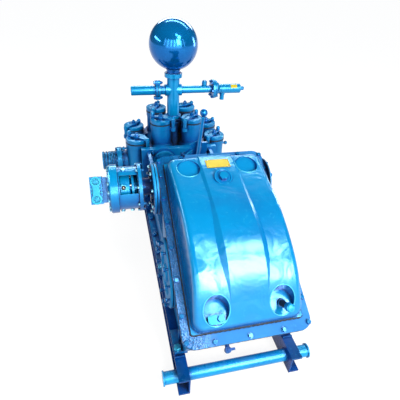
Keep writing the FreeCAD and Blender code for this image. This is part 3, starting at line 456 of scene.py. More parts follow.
def hammered_rim(net, coords, body, ground, base):
    """Hammered and speckled left side of the cover's rim, with painted shade on the dome's low wall and round
    its foot, and the flat rim painted deeper to tone down its reflection.
    """
    paint = settings().paint
    deep, soot_and_shade = rgba(paint.azure_thick_and_shade), rgba(paint.soot_and_shade)
    over = net.height_over(coords, on_cover(0, 0, 0), SLOPE_NORMAL)
    flat = net.times(net.ramp(over, 0.0022, 0.0004), net.ramp(over, -0.004, -0.0005))
    hammered = net.times(flat, net.ramp(net.part(coords, "X"), -0.11, -0.20))
    hammer = net.add("ShaderNodeTexVoronoi", {"Vector": coords, "Scale": 210.0}, feature="SMOOTH_F1")
    base = net.bump(0.8, 0.0012, net.times(hammer.outputs["Distance"], hammered), base)
    upright = net.part(net.normal(), "Z")
    # Painted shade: the dome's low upright wall goes toward deep azure, its foot toward near-black
    low_wall_shade = net.times(net.ramp(over, 0.030, 0.012), net.ramp(upright, 0.80, 0.62))
    foot = net.times(net.ramp(over, 0.018, 0.009), net.ramp(over, 0.0005, 0.0014))
    foot = net.times(foot, net.ramp(upright, 0.85, 0.80))
    specks = net.times(net.ramp(net.noise(coords, 330.0, 1.0), 0.48, 0.60), 0.92)
    # The flat rim is painted deeper, as painted shade that tones down its reflection
    for mask, amount, tint in ((low_wall_shade, 0.8, deep), (foot, 0.9, soot_and_shade), (specks, hammered, soot_and_shade),
                               (flat, 0.4, deep)):
        body = net.mix(net.times(mask, amount), body, tint)
    ground = net.plus(ground, net.times(foot, 0.4))
    ground = net.plus(ground, net.times(net.minus(flat, hammered), 0.5))
    return body, ground, base


def plain_finish(name, tint, deep, rough, metallic=0.0):
    """Cloudy finish without enamel; deep is how bright its second tone is beside the tint."""
    net, shader, coords = start_material(name)
    fine = net.noise(coords, 240.0, 2.0, 0.6)
    cloud = net.ramp(net.noise(coords, 22.0, 4.0, 0.6), 0.42, 0.75)
    net.fill(shader, {"Base Color": net.mix(cloud, rgba(tint), rgba([part * deep for part in tint])),
                      "Roughness": net.plus(rough, net.times(fine, 0.16)), "Metallic": metallic,
                      "Normal": net.bump(0.2, 0.0004, fine, net.rounded(0.0012))})


# ---- pieces


def keep(name, mesh, finish, body=PUMP):
    """Make a finished piece of the mesh, riding on a body."""
    for face in mesh.polygons:
        face.use_smooth = True
    mesh.set_sharp_from_angle(angle=math.radians(35.0))
    mesh.materials.clear()
    mesh.materials.append(MATERIALS[finish])
    piece = bpy.data.objects.new(name, mesh)
    bpy.context.scene.collection.objects.link(piece)
    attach(piece, body)
    return piece


def grow(host, tree, values):
    """Run a Geometry Nodes tree on a host object and return the result as a plain mesh."""
    bpy.context.scene.collection.objects.link(host)
    modifier = host.modifiers.new(tree.name, "NODES")
    modifier.node_group = tree
    for socket in tree.interface.items_tree:
        if socket.name in values:
            modifier[socket.identifier] = values[socket.name]
    bpy.context.view_layer.update()
    ready = host.evaluated_get(bpy.context.evaluated_depsgraph_get())
    mesh = bpy.data.meshes.new_from_object(ready)
    bpy.data.batch_remove((host, host.data))
    return mesh


@cache
def bolt_tree():
    """Hexagon bolts or nuts on every point, along the point's axis attribute."""
    net, given, made = new_tree("Hexagon Bolts", "Geometry, Seed, Across Flats, Head, Stand Off, "
                                "Washer Radius, Washer, Shank Radius, Shank", "Geometry", "GeometryNodeTree")
    points, seed, flats, head, off, washer_radius, washer, shank_radius, shank = given
    bolt = net.add("GeometryNodeJoinGeometry")

    def part(shape, corners, deep, middle, **radii):
        radii = {label.replace("_", " "): radius for label, radius in radii.items()}
        solid = net.add("GeometryNodeMesh" + shape, {"Vertices": corners, "Depth": deep, **radii})
        lift = net.add("ShaderNodeCombineXYZ", {"Z": middle}).outputs[0]
        moved = net.add("GeometryNodeTransform", {"Geometry": solid.outputs["Mesh"], "Translation": lift})
        net.link(moved.outputs[0], bolt.inputs[0])

    radius = net.math("DIVIDE", flats, math.sqrt(3))
    low = net.times(head, 0.8)
    part("Cylinder", 6, low, net.plus(off, net.times(low, 0.5)), Radius=radius)
    part("Cone", 6, net.times(head, 0.2), net.plus(off, low), Radius_Bottom=radius,
         Radius_Top=net.times(radius, 0.86))
    part("Cylinder", 20, washer, net.minus(off, net.times(washer, 0.5)), Radius=washer_radius)
    part("Cylinder", 12, shank, net.times(shank, 0.5), Radius=shank_radius)
    axis = net.add("GeometryNodeInputNamedAttribute", {"Name": "axis"}, data_type="FLOAT_VECTOR")
    stand = net.add("FunctionNodeAlignRotationToVector", {"Vector": axis.outputs["Attribute"]}, axis="Z")
    turn = net.add("FunctionNodeRandomValue", {2: 0.0, 3: math.pi, "Seed": seed}, data_type="FLOAT")
    twist = net.add("FunctionNodeAxisAngleToRotation", {"Axis": UP, "Angle": turn.outputs[1]})
    turned = net.add("FunctionNodeRotateRotation", {0: stand.outputs[0], 1: twist.outputs[0]},
                     rotation_space="LOCAL")
    spread = net.add("GeometryNodeInstanceOnPoints", {
        "Points": points, "Instance": bolt.outputs[0], "Rotation": turned.outputs[0]})
    real = net.add("GeometryNodeRealizeInstances", {"Geometry": spread.outputs[0]})
    return net.close(made, Geometry=real.outputs[0])


@cache
def bead_tree():
    """Rippled bead along every curve."""
    net, (curves, radius, ripple, swell, sides), made = new_tree(
        "Rippled Bead", "Geometry, Radius, Ripple, Swell, Sides", "Geometry", "GeometryNodeTree")
    step = net.math("DIVIDE", ripple, 3.0)
    fine = net.add("GeometryNodeResampleCurve", {"Curve": curves, "Length": step}, mode="LENGTH")
    run = net.add("GeometryNodeSplineParameter").outputs["Length"]
    wave = net.math("SINE", net.times(net.math("DIVIDE", run, ripple), math.tau))
    ring = net.add("GeometryNodeCurvePrimitiveCircle", {"Resolution": sides, "Radius": radius})
    bead = net.add("GeometryNodeCurveToMesh", {"Curve": fine.outputs[0], "Profile Curve": ring.outputs[0],
                                               "Scale": net.plus(1.0, net.times(wave, swell))})
    return net.close(made, Geometry=bead.outputs[0])


def bolts(name, seats, wide, head, washer=0.0, stand_off=0.0, shank=0.0, shank_radius=None,
          finish="bolt_enamel"):
    """Bolts on seats, each a point and an outward axis. A bolt without a washer hides its disc in the head."""
    thick = WASHER_THICK if washer else 0.0
    lift = max(stand_off, thick)
    mesh = bpy.data.meshes.new(name)
    mesh.from_pydata([tuple(place) for place, axis in seats], [], [])
    axes = mesh.attributes.new("axis", "FLOAT_VECTOR", "POINT")
    for item, (place, axis) in zip(axes.data, seats):
        item.vector = Vector(axis).normalized()
    values = {"Across Flats": wide, "Head": head, "Stand Off": lift, "Seed": settings().studio.seed,
              "Washer Radius": wide * 0.5 * max(washer, 0.1), "Washer": max(thick, 0.0002),
              "Shank Radius": shank_radius or wide * 0.29, "Shank": max(lift + head * 0.5, shank)}
    keep(name, grow(bpy.data.objects.new(name + "_seats", mesh), bolt_tree(), values), finish)


def beads(name, paths, radius, swell=0.16, ripple=None, sides=8, finish="azure_enamel",
          closed=True):
    """Beads along lists of points; radius and ripple are in metres."""
    curve = bpy.data.curves.new(name, "CURVE")
    curve.dimensions = "3D"
    for path in paths:
        spline = curve.splines.new("POLY")
        spline.points.add(len(path) - 1)
        for point, place in zip(spline.points, path):
            point.co = (*place, 1.0)
        spline.use_cyclic_u = closed
    values = {"Radius": radius, "Ripple": ripple or settings().welds.ripple, "Swell": swell, "Sides": sides}
    keep(name, grow(bpy.data.objects.new(name + "_line", curve), bead_tree(), values), finish)


def seams(name, paths, radius, swell=0.2, ripple=0.023):
    """Dark lines: oily seams where two parts meet, and painted shade where a line lies along a fillet or
    groove.
    """
    beads(name, paths, radius, swell=swell, ripple=ripple, sides=6, finish="oily_dark_and_shade")


def hoop(x, centre, radius, count):
    """Points of an upright circle round an axis along X."""
    return [around(centre, radius, 360 * k / count, x) for k in range(count)]


def level_ring(x, along, z, radius, count):
    """Points of a level circle."""
    turns = [math.tau * k / count for k in range(count)]
    return [at(x + radius * math.cos(a), along + radius * math.sin(a), z) for a in turns]


def rounded_loop(half, start, end, corner, over, count=10):
    """Points round a rectangle with rounded corners that lies on the slope."""
    points = []
    for cx, cy, first in ((half - corner, end - corner, 0), (corner - half, end - corner, 90),
                          (corner - half, start + corner, 180), (half - corner, start + corner, 270)):
        for k in range(count + 1):
            a = math.radians(first + 90 * k / count)
            points.append(on_cover(cx + corner * math.cos(a), cy + corner * math.sin(a), over))
    return points


def lathe(points, faces, profile, centre, axis, count, ring):
    """Add a turned shape: the profile holds (place along the axis, radius); a ring closes on itself."""
    axis = Vector(axis).normalized()
    side = axis.orthogonal().normalized()
    other = axis.cross(side)
    rows = []
    for along, radius in profile:
        middle = Vector(centre) + axis * along * MM
        if radius == 0:
            rows.append([len(points)] * count)
            points.append(middle)
            continue
        rows.append(range(len(points), len(points) + count))
        for k in range(count):
            a = math.tau * k / count
            points.append(middle + (side * math.cos(a) + other * math.sin(a)) * radius * MM)
    if ring:
        rows.append(rows[0])
    for low, high in zip(rows, rows[1:]):
        for k in range(count):
            m = (k + 1) % count
            faces.append(list(dict.fromkeys((low[k], low[m], high[m], high[k]))))


def closed_form(name, points, faces, finish, body=PUMP):
    """Piece from closed shapes, with all faces turned outward."""
    mesh = bpy.data.meshes.new(name)
    mesh.from_pydata([tuple(point) for point in points], [], faces)
    shell = bmesh.new()
    shell.from_mesh(mesh)
    bmesh.ops.recalc_face_normals(shell, faces=shell.faces)
    shell.to_mesh(mesh)
    shell.free()
    return keep(name, mesh, finish, body)


def turned(name, profile, places, axis, count, finish, slot=BLUE, body=PUMP, ring=False):
    """Piece turned on a lathe, standing on every place. Its profile is in millimetres."""
    points, faces = [], []
    for place in places:
        lathe(points, faces, profile, place, axis, count, ring)
    return closed_form(name, points, faces, finish, body)


def sheet(name, rows, finish):
    """Piece with a closed skin through rows of points, each row a loop, and its two ends filled."""
    n, last = len(rows[0]), (len(rows) - 1) * len(rows[0])
    faces = [[a + k, a + (k + 1) % n, a + n + (k + 1) % n, a + n + k] for a in range(0, last, n)
             for k in range(n)]
    faces += [list(range(n)), list(range(last, last + n))]
    closed_form(name, [point for row in rows for point in row], faces, finish)


def ball_profile(radius, high, low, steps):
    """Profile of a ball round a height, from an angle at its foot to its top."""
    turns = [math.radians(low + (180 - low) * k / steps) for k in range(steps)]
    return [(high - radius * math.cos(a), radius * math.sin(a)) for a in turns] + [(high + radius, 0.0)]


def surface_of(name):
    """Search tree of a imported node's faces, in metres."""
    mesh = frame["nodes"][name].data
    return BVHTree.FromPolygons([vertex.co.copy() for vertex in mesh.vertices],
                                [list(face.vertices) for face in mesh.polygons])


def on_skin(surface, x, along):
    """Where a surface lies on the slope, at X and along in millimetres."""
    hit = surface.ray_cast(on_cover(x, along, SEARCH_FROM), -SLOPE_NORMAL)[0]
    if hit is None:
        raise ValueError("no surface under a seat")
    return hit


def ring_seats(centre, radius, count, first, x, way):
    """Seats round an axis along X."""
    return [(around(centre, radius, 360 / count * k + first, x), (way, 0, 0)) for k in range(count)]


def liner_seats(radius, count, first, along, way):
    """Seats round both cylinder liners."""
    turns = [math.radians(360 / count * k + first) for k in range(count)]
    return [(at(side * LINER_X + radius * math.cos(a), along, LINER_Z + radius * math.sin(a)), way)
            for side in SIDES for a in turns]


def both_sides(xs, alongs, heights, way):
    """Seats left and right of the middle, at all the places given."""
    return [(at(side * x, along, z), way) for side in SIDES for x in xs for along in alongs for z in heights]


# ---- dressing steps
#
# Places, radii and profiles in the steps are in millimetres, and angles in degrees. The sizes of bolts and
# beads are in metres.

class Dress(bpy.types.Operator):
    """Base of the dressing steps"""
    bl_options = {"REGISTER", "UNDO"}

    def execute(self, context):
        self.make(settings())
        return {"FINISHED"}


class MUDPUMP_OT_finishes(Dress):
    """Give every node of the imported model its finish"""
    bl_idname = "mud_pump.finishes"
    bl_label = "Finishes"

    def make(self, chosen):
        paint = chosen.paint
        gloss = paint.gloss

        def deeper(amount, bright=1.0):
            return [(a + (b - a) * amount) * bright for a, b in zip(paint.azure, paint.azure_thick_and_shade)]

        enamel("azure_enamel", gloss + 0.07, depth=0.18, bump=0.15, wear_and_glint=0.5, reach=0.08, side_shade=0.15,
               flake=0.4)
        enamel("azure_casting", paint.cast_gloss + 0.1, depth=0.7, wear_and_glint=0.6, reach=0.13, side_shade=0.45, ior=1.36,
               flake=0.22)
        enamel("azure_caps", gloss + 0.03, depth=0.4, wear_and_glint=0.9, reach=0.03, side_shade=0.4)
        enamel("azure_matt", 0.36, depth=0.6, bump=0.25, wear_and_glint=0.5, dust=0.5, reach=0.08, side_shade=0.45, ior=1.3,
               flake=0.18)
        enamel("azure_shade", gloss + 0.1, tint=deeper(0.45), bump=0.2, wear_and_glint=0.7, reach=0.12, side_shade=0.6,
               ior=1.36, flake=0.25)
        enamel("azure_cover", gloss + 0.04, tint=deeper(0.12), depth=0.1, bump=0.2, wear_and_glint=0.2, dust=0.0,
               rim=True, waves=1.0, side_shade=0.7, flake=0.25, reach=0.016, ior=1.6)
        # Painted highlight: the recess lips are painted pale azure
        enamel("azure_lip_highlight", gloss + 0.04, tint=paint.azure_pale_and_highlight, depth=0.1, bump=0.1, wear_and_glint=0.0, dust=0.0,
               reach=0.004, round_off=0.0, flake=0.3)
        enamel("azure_ball", gloss, tint=paint.ball, grain=90.0, depth=0.05, bump=0.04, wear_and_glint=0.0, dust=0.0,
               round_off=0.0, side_shade=0.5, flake=0.6)
        enamel("azure_drive", gloss + 0.05, depth=0.2, bump=0.2, reach=0.06, side_shade=0.6, flake=0.3)
        enamel("azure_coupling", gloss + 0.05, depth=0.2, bump=0.2, reach=0.008)
        enamel("azure_port_block", gloss, depth=0.2, bump=0.2, wear_and_glint=0.6, reach=0.03, side_shade=0.2,
               patch=(on_motor(PORT_BLOCK_X, -52, 0), MOTOR_FACE, paint.turquoise))
        # Dark skid enamel, also put on the drive neck and the drain cock as painted shade
        enamel("azure_skids_and_shade", paint.cast_gloss + 0.05, tint=deeper(0.8, 0.45), depth=0.5, wear_and_glint=0.3, dust=0.1,
               reach=0.12, side_shade=0.6, ior=1.25, flake=0.1)
        enamel("bolt_enamel", gloss, tint=deeper(0.45), round_off=0.0009, reach=0.02, side_shade=0.7)
        enamel("turquoise_enamel", gloss, tint=paint.turquoise, round_off=0.0012, reach=0.02)
        enamel("bolt_bright", gloss + 0.05, tint=paint.bright, round_off=0.0009, reach=0.012, flake=0.6)
        enamel("azure_flat", 0.5, bump=0.2, wear_and_glint=0.7, dust=0.2, reach=0.03, side_shade=0.3, ior=1.3, flake=0.1)
        enamel("azure_pipes", gloss + 0.07, depth=0.18, bump=0.15, wear_and_glint=0.5, reach=0.04)
        plain_finish("plate_yellow", paint.plate, 0.86, 0.3)
        plain_finish("ground_steel", paint.steel, 0.7, 0.18, metallic=1.0)
        # Near-black of oily seams and the breather's neck, also used for painted shade lines
        plain_finish("oily_dark_and_shade", paint.soot_and_shade, 2.2, 0.55)
        special = {node: finish for finish, nodes in NODE_FINISHES.items() for node in nodes.split()}
        slots = {part["node"]: part["material_slot"] for part in frame["record"]["subparts"]}
        for name, node in frame["nodes"].items():
            finish = special.get(name) or SLOT_FINISHES.get(slots[name], "azure_enamel")
            node.data.materials.clear()
            node.data.materials.append(MATERIALS[finish])


class MUDPUMP_OT_air_vessel(Dress):
    """Smooth spun ball of the air vessel on its neck"""
    bl_idname = "mud_pump.air_vessel"
    bl_label = "Air vessel"

    def make(self, chosen):
        low = math.degrees(math.asin(NECK_RADIUS / BALL_RADIUS))
        profile = [(NECK_Z, 0.0), (NECK_Z, NECK_RADIUS)] + ball_profile(BALL_RADIUS, BALL_Z, low, 150)
        ball = turned("spun_air_vessel", profile, [at(0, RISER_Y, 0)], UP, 256, "azure_ball")
        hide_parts("air_vessel")


class MUDPUMP_OT_knob(Dress):
    """Ball knob of the shift lever with its collar"""
    bl_idname = "mud_pump.knob"
    bl_label = "Lever knob"

    def make(self, chosen):
        axis = Vector((math.sin(math.radians(LEVER_LEAN)), 0, math.cos(math.radians(LEVER_LEAN))))
        middle = [at(*LEVER_PIVOT) + axis * LEVER_REACH * MM]
        knob = turned("turned_knob", ball_profile(KNOB_RADIUS, 0, 0, 24), middle, axis, 40, "azure_ball",
                      body=LEVER)
        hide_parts("lever_knob")
        collar = [(-30, 0), (-30, 11), (-29, 12), (-22, 12), (-21, 11), (-21, 0)]
        turned("knob_collar", collar, middle, axis, 28, "azure_enamel", body=LEVER)


class MUDPUMP_OT_cover_details(Dress):
    """Painted shade line at the dome's foot, gasket, recess lips with a painted highlight, breather and rim
    tab of the cover, and its plate's screws and edge
    """
    bl_idname = "mud_pump.cover_details"
    bl_label = "Cover details"

    def make(self, chosen):
        # Painted shade: a near-black bead along the dome's foot, where there is no joint
        foot = rounded_loop(226, 50, 804, 9, 0.4)
        seams("dome_foot_shade", [foot], chosen.welds.seam * 1.5, swell=0.25, ripple=0.019)
        joint = rounded_loop(RIM_HALF - 0.5, 0.6, RIM_LENGTH - 0.6, RIM_CORNER, -11.0)
        seams("rim_gasket", [joint], 0.0018, ripple=0.03)
        self.recess_lips(chosen.welds.lip)
        self.breather()
        self.rim_tab()
        self.plate()

    def recess_lips(self, radius):
        """Rounded lips painted pale as a painted highlight: whole rings at the two near recesses, arcs at the
        two far ones.
        """
        arcs = []
        cover = surface_of("crankcase_cover")
        for x, along, first, turn in ((130.0, 114.0, -90, 360), (133.0, 724.0, 165, 140)):
            for side in SIDES:
                turns = [math.radians(first + turn * k / 71) for k in range(72)]
                arcs.append([on_skin(cover, side * x + RECESS_RADIUS * math.cos(a),
                                     along + RECESS_RADIUS * math.sin(a))
                             - SLOPE_NORMAL * 0.0009 for a in turns])
        beads("recess_lips", arcs, radius, swell=0.0, sides=12, finish="azure_lip_highlight", closed=False)

    def breather(self):
        base, axis = [on_cover(136, 110, 49)], outward(90 + SLOPE_DEG + 26)
        sleeve = [(8.6, 0), (8.6, 12.4), (60.5, 12.4), (60.5, 0)]
        turned("breather_sleeve", sleeve, base, axis, 32, "oily_dark_and_shade")
        grip = [(61.0, 0), (61.0, 16.4), (62.5, 17.0)]
        for k in range(6):
            grip += [(64 + 3 * k, 17.0), (65 + 3 * k, 16.2), (66 + 3 * k, 16.2), (66.5 + 3 * k, 17.0)]
        grip += [(84.0, 16.6), (87.2, 13.0), (88.0, 9.0), (88.0, 0)]
        turned("breather_grip", grip, base, axis, 40, "azure_enamel")

    def rim_tab(self):
        corners = (-142, 843), (-138, 847), (-124, 847), (-120, 843), (-124, 838), (-138, 838)
        foot = [on_cover(x, along, 0) for x, along in corners]
        sheet("rim_tab", [foot, [point + SLOPE_NORMAL * 0.020 for point in foot]], "azure_enamel")
        left, right, low = on_cover(-143, 842, 34), on_cover(-125, 842, 36), on_cover(-133, 842, 18)
        fork = [left, (left + low) / 2, low, (right + low) / 2, right]
        beads("rim_tab_fork", [fork], 0.0032, swell=0.0, closed=False)

    def plate(self):
        plate = surface_of("name_plate")
        places = [on_skin(plate, x, along) for x in (-46, 46) for along in (715, 757)]
        screw = [(-0.5, 0), (-0.5, 3.4), (0.8, 3.4), (1.7, 2.4), (2.0, 0)]
        turned("plate_screws", screw, places, SLOPE_NORMAL, 16, "ground_steel", YELLOW)
        corners = [(-50, 713), (50, 713), (50, 759), (-50, 759)]
        edge = [on_skin(plate, x + (x1 - x) * k / 12, along + (along1 - along) * k / 12)
                for (x, along), (x1, along1) in zip(corners, corners[1:] + corners[:1]) for k in range(12)]
        beads("plate_frame", [edge], 0.0006, swell=0.0, sides=6, finish="plate_yellow")


class MUDPUMP_OT_cover_bolts(Dress):
    """Bolts round the rim of the crankcase cover"""
    bl_idname = "mud_pump.cover_bolts"
    bl_label = "Cover bolts"

    def make(self, chosen):
        flat = [(x, 14.5) for x in (-140, 0, 138)] + [(x, 837) for x in (-139, 0, 139)]
        flat += [(side * 247, along) for along in (27, 824) for side in SIDES]
        flat += [(side * 249, along) for along in (125, 263, 401, 516, 632, 745) for side in SIDES]
        seats = [(on_cover(x, along, 0), SLOPE_NORMAL) for x, along in flat]
        bolts("cover_rim_bolts", seats, chosen.bolts.cover, 0.0085, washer=1.35)


class MUDPUMP_OT_bearing_bolts(Dress):
    """Bolts of the crank covers and of the covers at the drive shaft"""
    bl_idname = "mud_pump.bearing_bolts"
    bl_label = "Bearing cover bolts"

    def make(self, chosen):
        sizes = chosen.bolts
        crank = [seat for side in SIDES
                 for seat in ring_seats(CRANK, 140, 12, 10, side * BEARING_FACE, side)]
        bolts("crank_cover_bolts", crank, sizes.cover, 0.010, stand_off=0.012, shank_radius=0.0052)
        bolts("ring_bolts_left", ring_seats(BEARING, 103, 8, 18, -288, -1), sizes.small, 0.008,
              stand_off=0.003, finish="bolt_bright")
        bolts("cap_bolts_right", ring_seats(BEARING, 92, 8, 0, BEARING_FACE, 1), sizes.cover, 0.009,
              washer=WASHER)


class MUDPUMP_OT_drive_bolts(Dress):
    """Bolts of the bell housing, its adaptor and the motor"""
    bl_idname = "mud_pump.drive_bolts"
    bl_label = "Drive bolts"

    def make(self, chosen):
        wide = chosen.bolts.small
        bolts("adaptor_bolts", ring_seats(PINION, 97, 16, 0, -477, -1), wide, 0.008, finish="bolt_bright")
        bolts("bell_flange_bolts", ring_seats(PINION, 104.5, 8, 15, -350, -1), wide * 0.85, 0.008,
              finish="bolt_bright")
        bolts("bell_flange_nuts", ring_seats(PINION, 104.5, 8, 15, -335, 1), wide * 0.85, 0.007, shank=0.013)
        bolts("neck_bolts", ring_seats(PINION, 51, 4, 30, -290, -1), wide * 0.8, 0.006)
        seats = [(around(PINION, 99, turn, x), outward(turn)) for turn, x in ((242, -425), (242, -382),
                                                                              (95, -412))]
        bolts("bell_screws", seats, 0.017, 0.007, washer=WASHER, finish="bolt_bright")
        screws = [(on_motor(PORT_BLOCK_X + dx, -52, up), MOTOR_FACE) for dx in (-20, 20) for up in (-9, 9)]
        bolts("port_block_screws", screws, 0.008, 0.005, finish="turquoise_enamel")


class MUDPUMP_OT_drive_fittings(Dress):
    """Blanking plugs of the motor's ports, and the boss, grease nipple and pins of the coupling"""
    bl_idname = "mud_pump.drive_fittings"
    bl_label = "Drive fittings"

    def make(self, chosen):
        plug = [(-16, 0), (-16, 13.4), (-3.0, 13.4), (-1.8, 12.6), (-1.8, 10.6), (-3.4, 10.0), (-3.4, 6.6),
                (-2.2, 6.0), (-2.2, 0)]
        ports = [on_motor(PORT_BLOCK_X, -59, up) for up in (-39, 39)]
        turned("port_plugs", plug, ports, MOTOR_FACE, 36, "turquoise_enamel")
        seat, out = [around(PINION, 73.4, 148, COUPLING_X)], outward(148)
        boss = [(-2, 9.5), (-2, 15), (2.6, 15), (3.6, 14), (3.6, 10.5), (1.6, 9.5)]
        turned("coupling_boss", boss, seat, out, 28, "turquoise_enamel", body=COUPLING, ring=True)
        floor = [(-2, 0), (-2, 9.6), (1.4, 9.6), (1.4, 0)]
        turned("coupling_boss_floor", floor, seat, out, 24, "oily_dark_and_shade", body=COUPLING)
        nipple = [(-2, 0), (-2, 2.6), (3.6, 2.6), (5.0, 1.6), (5.4, 0)]
        turned("coupling_nipple", nipple, seat, out, 16, "ground_steel", body=COUPLING)
        pin = [(0, 0), (0, 6.5), (12, 6.5), (12, 0)]
        places = [around(PINION, 60, 60 * k + 18, -392) for k in range(6)]
        turned("coupling_pins", pin, places, (1, 0, 0), 16, "ground_steel", body=COUPLING)


class MUDPUMP_OT_pipe_bolts(Dress):
    """Bolts of the delivery, relief and suction flanges and of the riser's foot"""
    bl_idname = "mud_pump.pipe_bolts"
    bl_label = "Pipe bolts"

    def make(self, chosen):
        sizes = chosen.bolts
        ends = (CROSS_Z - 52, CROSS_Z + 52)
        bolts("delivery_bolts", [(at(-126, RISER_Y, z), (-1, 0, 0)) for z in ends], sizes.pipe, 0.013)
        nuts = [(at(-94, RISER_Y, z), (1, 0, 0)) for z in ends]
        bolts("delivery_nuts", nuts, sizes.pipe, 0.013, shank=0.02)
        bolts("relief_flange_bolts", ring_seats(CROSS, 51, 6, 0, 314, 1), sizes.small, 0.007, shank=0.011)
        bolts("relief_flange_nuts", ring_seats(CROSS, 55, 6, 0, 280, -1), 0.016, 0.010, shank=0.014)
        bolts("relief_lock_nut", ring_seats(CROSS, 0, 1, 0, 491, 1), 0.036, 0.010)
        feet = both_sides((51,), (1692, 1772), (545,), UP)
        bolts("riser_foot_bolts", feet, sizes.cover, 0.010, washer=WASHER)
        wide = sizes.pipe * 0.86
        bolts("suction_flange_bolts", ring_seats(SUCTION, 78, 8, 22.5, -425, -1), wide, 0.012)
        bolts("suction_flange_nuts", ring_seats(SUCTION, 78, 8, 22.5, -393, 1), wide, 0.012, shank=0.018)


class MUDPUMP_OT_fluid_end_bolts(Dress):
    """Nuts and studs of the frame, glands, cylinder heads and valve yokes"""
    bl_idname = "mud_pump.fluid_end_bolts"
    bl_label = "Fluid end bolts"

    def make(self, chosen):
        sizes = chosen.bolts
        front = both_sides((187,), (1462,), (402, 368, 333, 299, 264), NEAR)
        bolts("front_plate_nuts", front, 0.019, 0.014, washer=WASHER, shank=0.022)
        bolts("gland_nuts", liner_seats(66, 4, 45, 1438, NEAR), 0.017, 0.012, shank=0.022)
        bolts("cylinder_head_nuts", liner_seats(77, 8, 22.5, 1946, FAR), sizes.large, 0.0115, shank=0.0135)
        flange = both_sides((207.5,), (1158,), (262, 317, 372), NEAR)
        bolts("crosshead_flange_bolts", flange, sizes.cover, 0.010, washer=WASHER)
        lids = both_sides((80, 160), (866, 940, 1014), (440,), UP)
        bolts("inspection_lid_bolts", lids, sizes.small, 0.006, washer=WASHER)
        yokes = [(at(side * x, along, z + 46), UP) for side in SIDES for x, along, z in POTS]
        bolts("yoke_screws", yokes, 0.026, 0.013, shank=0.020, shank_radius=0.008)


class MUDPUMP_OT_foot_bolts(Dress):
    """Bolts that hold the feet on the skids"""
    bl_idname = "mud_pump.foot_bolts"
    bl_label = "Foot bolts"

    def make(self, chosen):
        wide = chosen.bolts.large
        heavy = both_sides((253,), (140, 640), (116,), UP)
        bolts("crankcase_foot_bolts", heavy, 0.030, 0.015, washer=WASHER, finish="turquoise_enamel")
        light = both_sides((250,), (760, 926, 1092, 1240, 1362), (114,), UP)
        bolts("frame_foot_bolts", light, wide, 0.013, washer=WASHER)
        far = both_sides((252,), (1560, 1870), (132,), UP)
        bolts("fluid_end_foot_bolts", far, wide, 0.013, washer=WASHER)


class MUDPUMP_OT_welds(Dress):
    """Weld beads of the pipes, the vessel, the tow tubes and the feet"""
    bl_idname = "mud_pump.welds"
    bl_label = "Weld beads"

    def make(self, chosen):
        bead = chosen.welds.bead
        vessel = [level_ring(0, RISER_Y, z, radius + 0.6, 64)
                  for z, radius in ((889.5, 47), (864, 46), (836, 44.4), (566, 44.4))]
        beads("vessel_welds", vessel, bead)
        branch = [hoop(x, CROSS, radius, 56) for x, radius in ((-58.5, 32), (58.5, 27), (-127, 32.6))]
        beads("branch_welds", branch, bead * 0.9)
        beads("suction_weld", [hoop(-426, SUCTION, 64.4, 72)], bead)
        tow = [hoop(side * x, (along, 51), 27.5, 48) for side in SIDES for x in (223.4, 230.2)
               for along in (57, 1903)]
        beads("tow_tube_welds", tow, bead, finish="azure_skids_and_shade")
        feet = [[at(side * x, along, 103) for x in (226, 249, 272)] for side in SIDES
                for along in (109.5, 581.5)]
        beads("foot_welds", feet, bead * 1.2, finish="azure_skids_and_shade", closed=False)


class MUDPUMP_OT_seams(Dress):
    """Oily seams where two parts meet: under the valve caps and at the flanges"""
    bl_idname = "mud_pump.seams"
    bl_label = "Oily seams"

    def make(self, chosen):
        thin = chosen.welds.seam * 0.55
        caps = [level_ring(side * x, along, z - 0.5, 73.2, 48) for side in SIDES for x, along, z in POTS]
        seams("cap_seams", caps, thin * 1.5)
        places = ((-350, 99.3), (-440.5, 99.3), (-335, 40.5), (-290, 40.5), (-472, 108))
        seams("drive_seams", [hoop(x, PINION, radius, 72) for x, radius in places], thin)
        covers = [hoop(side * 244.5, CRANK, 158.3, 96) for side in SIDES]
        covers += [hoop(x, BEARING, radius, 80) for x, radius in ((-262.5, 120.2), (262.5, 108.2))]
        seams("cover_seams", covers, thin)
        pipes = [hoop(x, CROSS, radius, count)
                 for x, radius, count in ((-110, 46.2, 48), (298, 61.5, 56), (320.5, 38.4, 48))]
        seams("pipe_seams", pipes + [level_ring(0, RISER_Y, 545, 57, 56)], thin * 0.8)


class MUDPUMP_OT_suction_ribs(Dress):
    """Ribs on the suction nozzle that a hose would be clamped over, and dark lines of painted shade in the
    grooves between them
    """
    bl_idname = "mud_pump.suction_ribs"
    bl_label = "Suction ribs"

    def make(self, chosen):
        places = (-523, -501.5, -480, -468, -456, -444, -434)
        ribs = [hoop(x, SUCTION, 63.5, 96) for x in places]
        beads("suction_ribs", ribs, chosen.welds.rib, swell=0.0, ripple=0.012, sides=10)
        # Painted shade: near-black lines in the grooves between the ribs
        grooves = [hoop(x + 5.4, SUCTION, 62.6, 96) for x in places[:-1]]
        seams("suction_groove_shade", grooves, 0.0022, swell=0.0, ripple=0.012)


class MUDPUMP_OT_sticker(Dress):
    """Bare yellow patch on the relief valve"""
    bl_idname = "mud_pump.sticker"
    bl_label = "Bare patch"

    def make(self, chosen):
        section = ((418, 32.8), (465, 32.8), (465, 33.5), (418, 33.5))
        rows = [[around(CROSS, radius, 110 + 50 * k / 16, x) for x, radius in section] for k in range(17)]
        sheet("relief_patch", rows, "plate_yellow")


